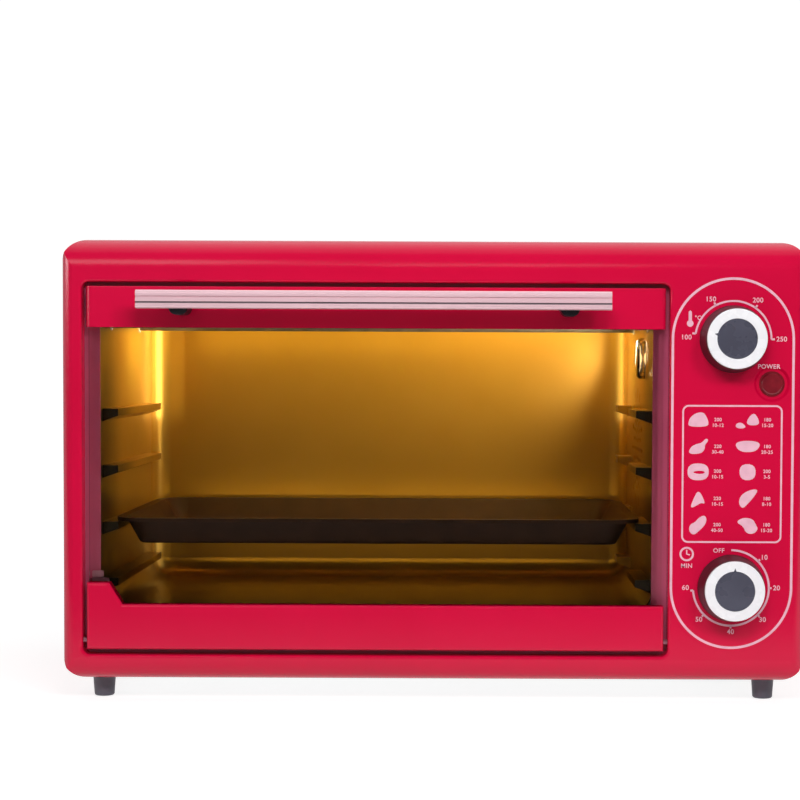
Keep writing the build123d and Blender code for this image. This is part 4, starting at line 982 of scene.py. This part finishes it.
# Studio lamps, in metres and watts
def area_light(name, place, target, width, height, power, colour=EVEN, spread_angle=180):
    data = bpy.data.lights.new(name, "AREA")
    data.shape = "RECTANGLE"
    data.size = width
    data.size_y = height
    data.energy = power
    data.color = colour
    data.spread = math.radians(spread_angle)
    made = bpy.data.objects.new(name, data)
    bpy.context.scene.collection.objects.link(made)
    made.location = place
    aim = Vector(target) - Vector(place)
    made.rotation_euler = aim.to_track_quat("-Z", "Y").to_euler()
    return made


def hide_source(light):
    """Leaves a lamp's light and hides its own shape."""
    light.visible_camera = False
    light.visible_transmission = False


area_light("top_softbox", (0, 0.1, 1.6), (0, 0, 0.15), width=2.4, height=1.6, power=7.0)
area_light(
    "left_softbox",
    (-0.62, -1.75, 1.15),
    (-0.25, 0, 0.30),
    width=0.6,
    height=0.5,
    power=3.0,
)
key = area_light(
    "key_softbox",
    (0.75, FACE_Y - 1.55, 0.95),
    (0, FACE_Y, 0.2),
    width=0.3,
    height=0.3,
    power=8.0,
)
# A small lamp above the front makes its top brighter than its foot
front = area_light(
    "front_softbox",
    (0.05, FACE_Y - 0.90, 0.66),
    (-0.02, FACE_Y, 0.28),
    width=0.35,
    height=0.15,
    power=4.3,
)
for light in (key, front):
    light.visible_glossy = False
    hide_source(light)

# A card on the left shows only as a reflection on the casing's upper corner
card = area_light(
    "corner_card",
    (-1.12, FACE_Y - 0.25, 0.42),
    (-0.25, FACE_Y, 0.36),
    width=0.55,
    height=0.16,
    power=4.0,
)
card.visible_diffuse = False
hide_source(card)

# The oven's own lamp, just inside its cover and aimed across the cavity
lens_low, lens_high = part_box("oven_lamp_lens")
lens_middle = (lens_low + lens_high) / 2
lamp = area_light(
    "oven_lamp",
    (lens_low.x - 0.002, lens_middle.y, lens_middle.z),
    (lens_low.x - 0.1, lens_middle.y + 0.030, lens_middle.z + 0.02),
    width=0.026,
    height=0.026,
    power=0.42,
    colour=(1.0, 0.88, 0.62),
    spread_angle=140,
)
hide_source(lamp)

# Warm light of the heated cavity, from under its ceiling and from under the tray
WARM = (1.0, 0.70, 0.14)
GLOW_WIDTH = 0.34
GLOW_LEAN = 0.085
ceiling_low, ceiling_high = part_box("cavity_ceiling")
ceiling_middle = (ceiling_low + ceiling_high) / 2
floor_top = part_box("cavity_floor")[1].z
for name, y, z, drop, height, power in (
    ("cavity_glow", ceiling_middle.y + 0.045, ceiling_low.z - 0.006, 0.10, 0.06, 0.15),
    ("cavity_glow_low", ceiling_middle.y, floor_top + 0.045, 0.03, 0.02, 0.045),
):
    glow = area_light(
        name,
        (ceiling_middle.x, y, z),
        (ceiling_middle.x, y + GLOW_LEAN, z - drop),
        GLOW_WIDTH,
        height,
        power,
        WARM,
        spread_angle=130,
    )
    hide_source(glow)

# Light thrown back by the side walls, which the walls don't mirror, and by the rounded rear
# corners: each lamp stands off the inner face of a side wall and is aimed straight at it
SHEET = 0.8 * MM
WALL_COLOUR = (1.0, 0.90, 0.40)
CORNER_COLOUR = (1.0, 0.92, 0.70)
left_x = back_wall_low.x + SHEET
right_x = back_wall_high.x - SHEET
corner_y = back_wall_high.y - 0.012
corner_z = ceiling_low.z - 0.045
for name, wall_x, off, y, z, width, height, power in (
    ("left_wall_glow", left_x, 0.045, 0.035, ceiling_low.z - 0.030, 0.06, 0.04, 0.036),
    ("right_wall_glow", right_x, -0.045, 0.070, ceiling_low.z - 0.035, 0.06, 0.04, 0.030),
    ("left_corner_glow", left_x, 0.028, corner_y, corner_z, 0.018, 0.09, 0.013),
    ("right_corner_glow", right_x, -0.028, corner_y, corner_z, 0.018, 0.09, 0.005),
    ("left_corner_glow_low", left_x, 0.028, corner_y, floor_top + 0.030, 0.018, 0.03, 0.0012),
):
    mirrored = "corner" in name
    glow = area_light(
        name,
        (wall_x + off, y, z),
        (wall_x, y, z),
        width,
        height,
        power,
        CORNER_COLOUR if mirrored else WALL_COLOUR,
        spread_angle=120,
    )
    glow.visible_glossy = mirrored
    hide_source(glow)

# Camera, square to the front, with its tilts in degrees
CAMERA_PITCH = 2.5
CAMERA_ROLL = 0.25
scene = bpy.context.scene
camera = bpy.data.cameras.new("camera")
camera_object = bpy.data.objects.new("camera", camera)
scene.collection.objects.link(camera_object)
camera.lens = 94.4
camera.sensor_width = 36.0
camera.shift_x = -0.0875
camera.shift_y = 0.0678
camera.dof.use_dof = False
camera_object.location = (0.025, FACE_Y - 1.45, 0.2372)
camera_object.rotation_euler = (math.radians(90 - CAMERA_PITCH), math.radians(-CAMERA_ROLL), 0)
scene.camera = camera_object
scene.view_settings.view_transform = "Standard"
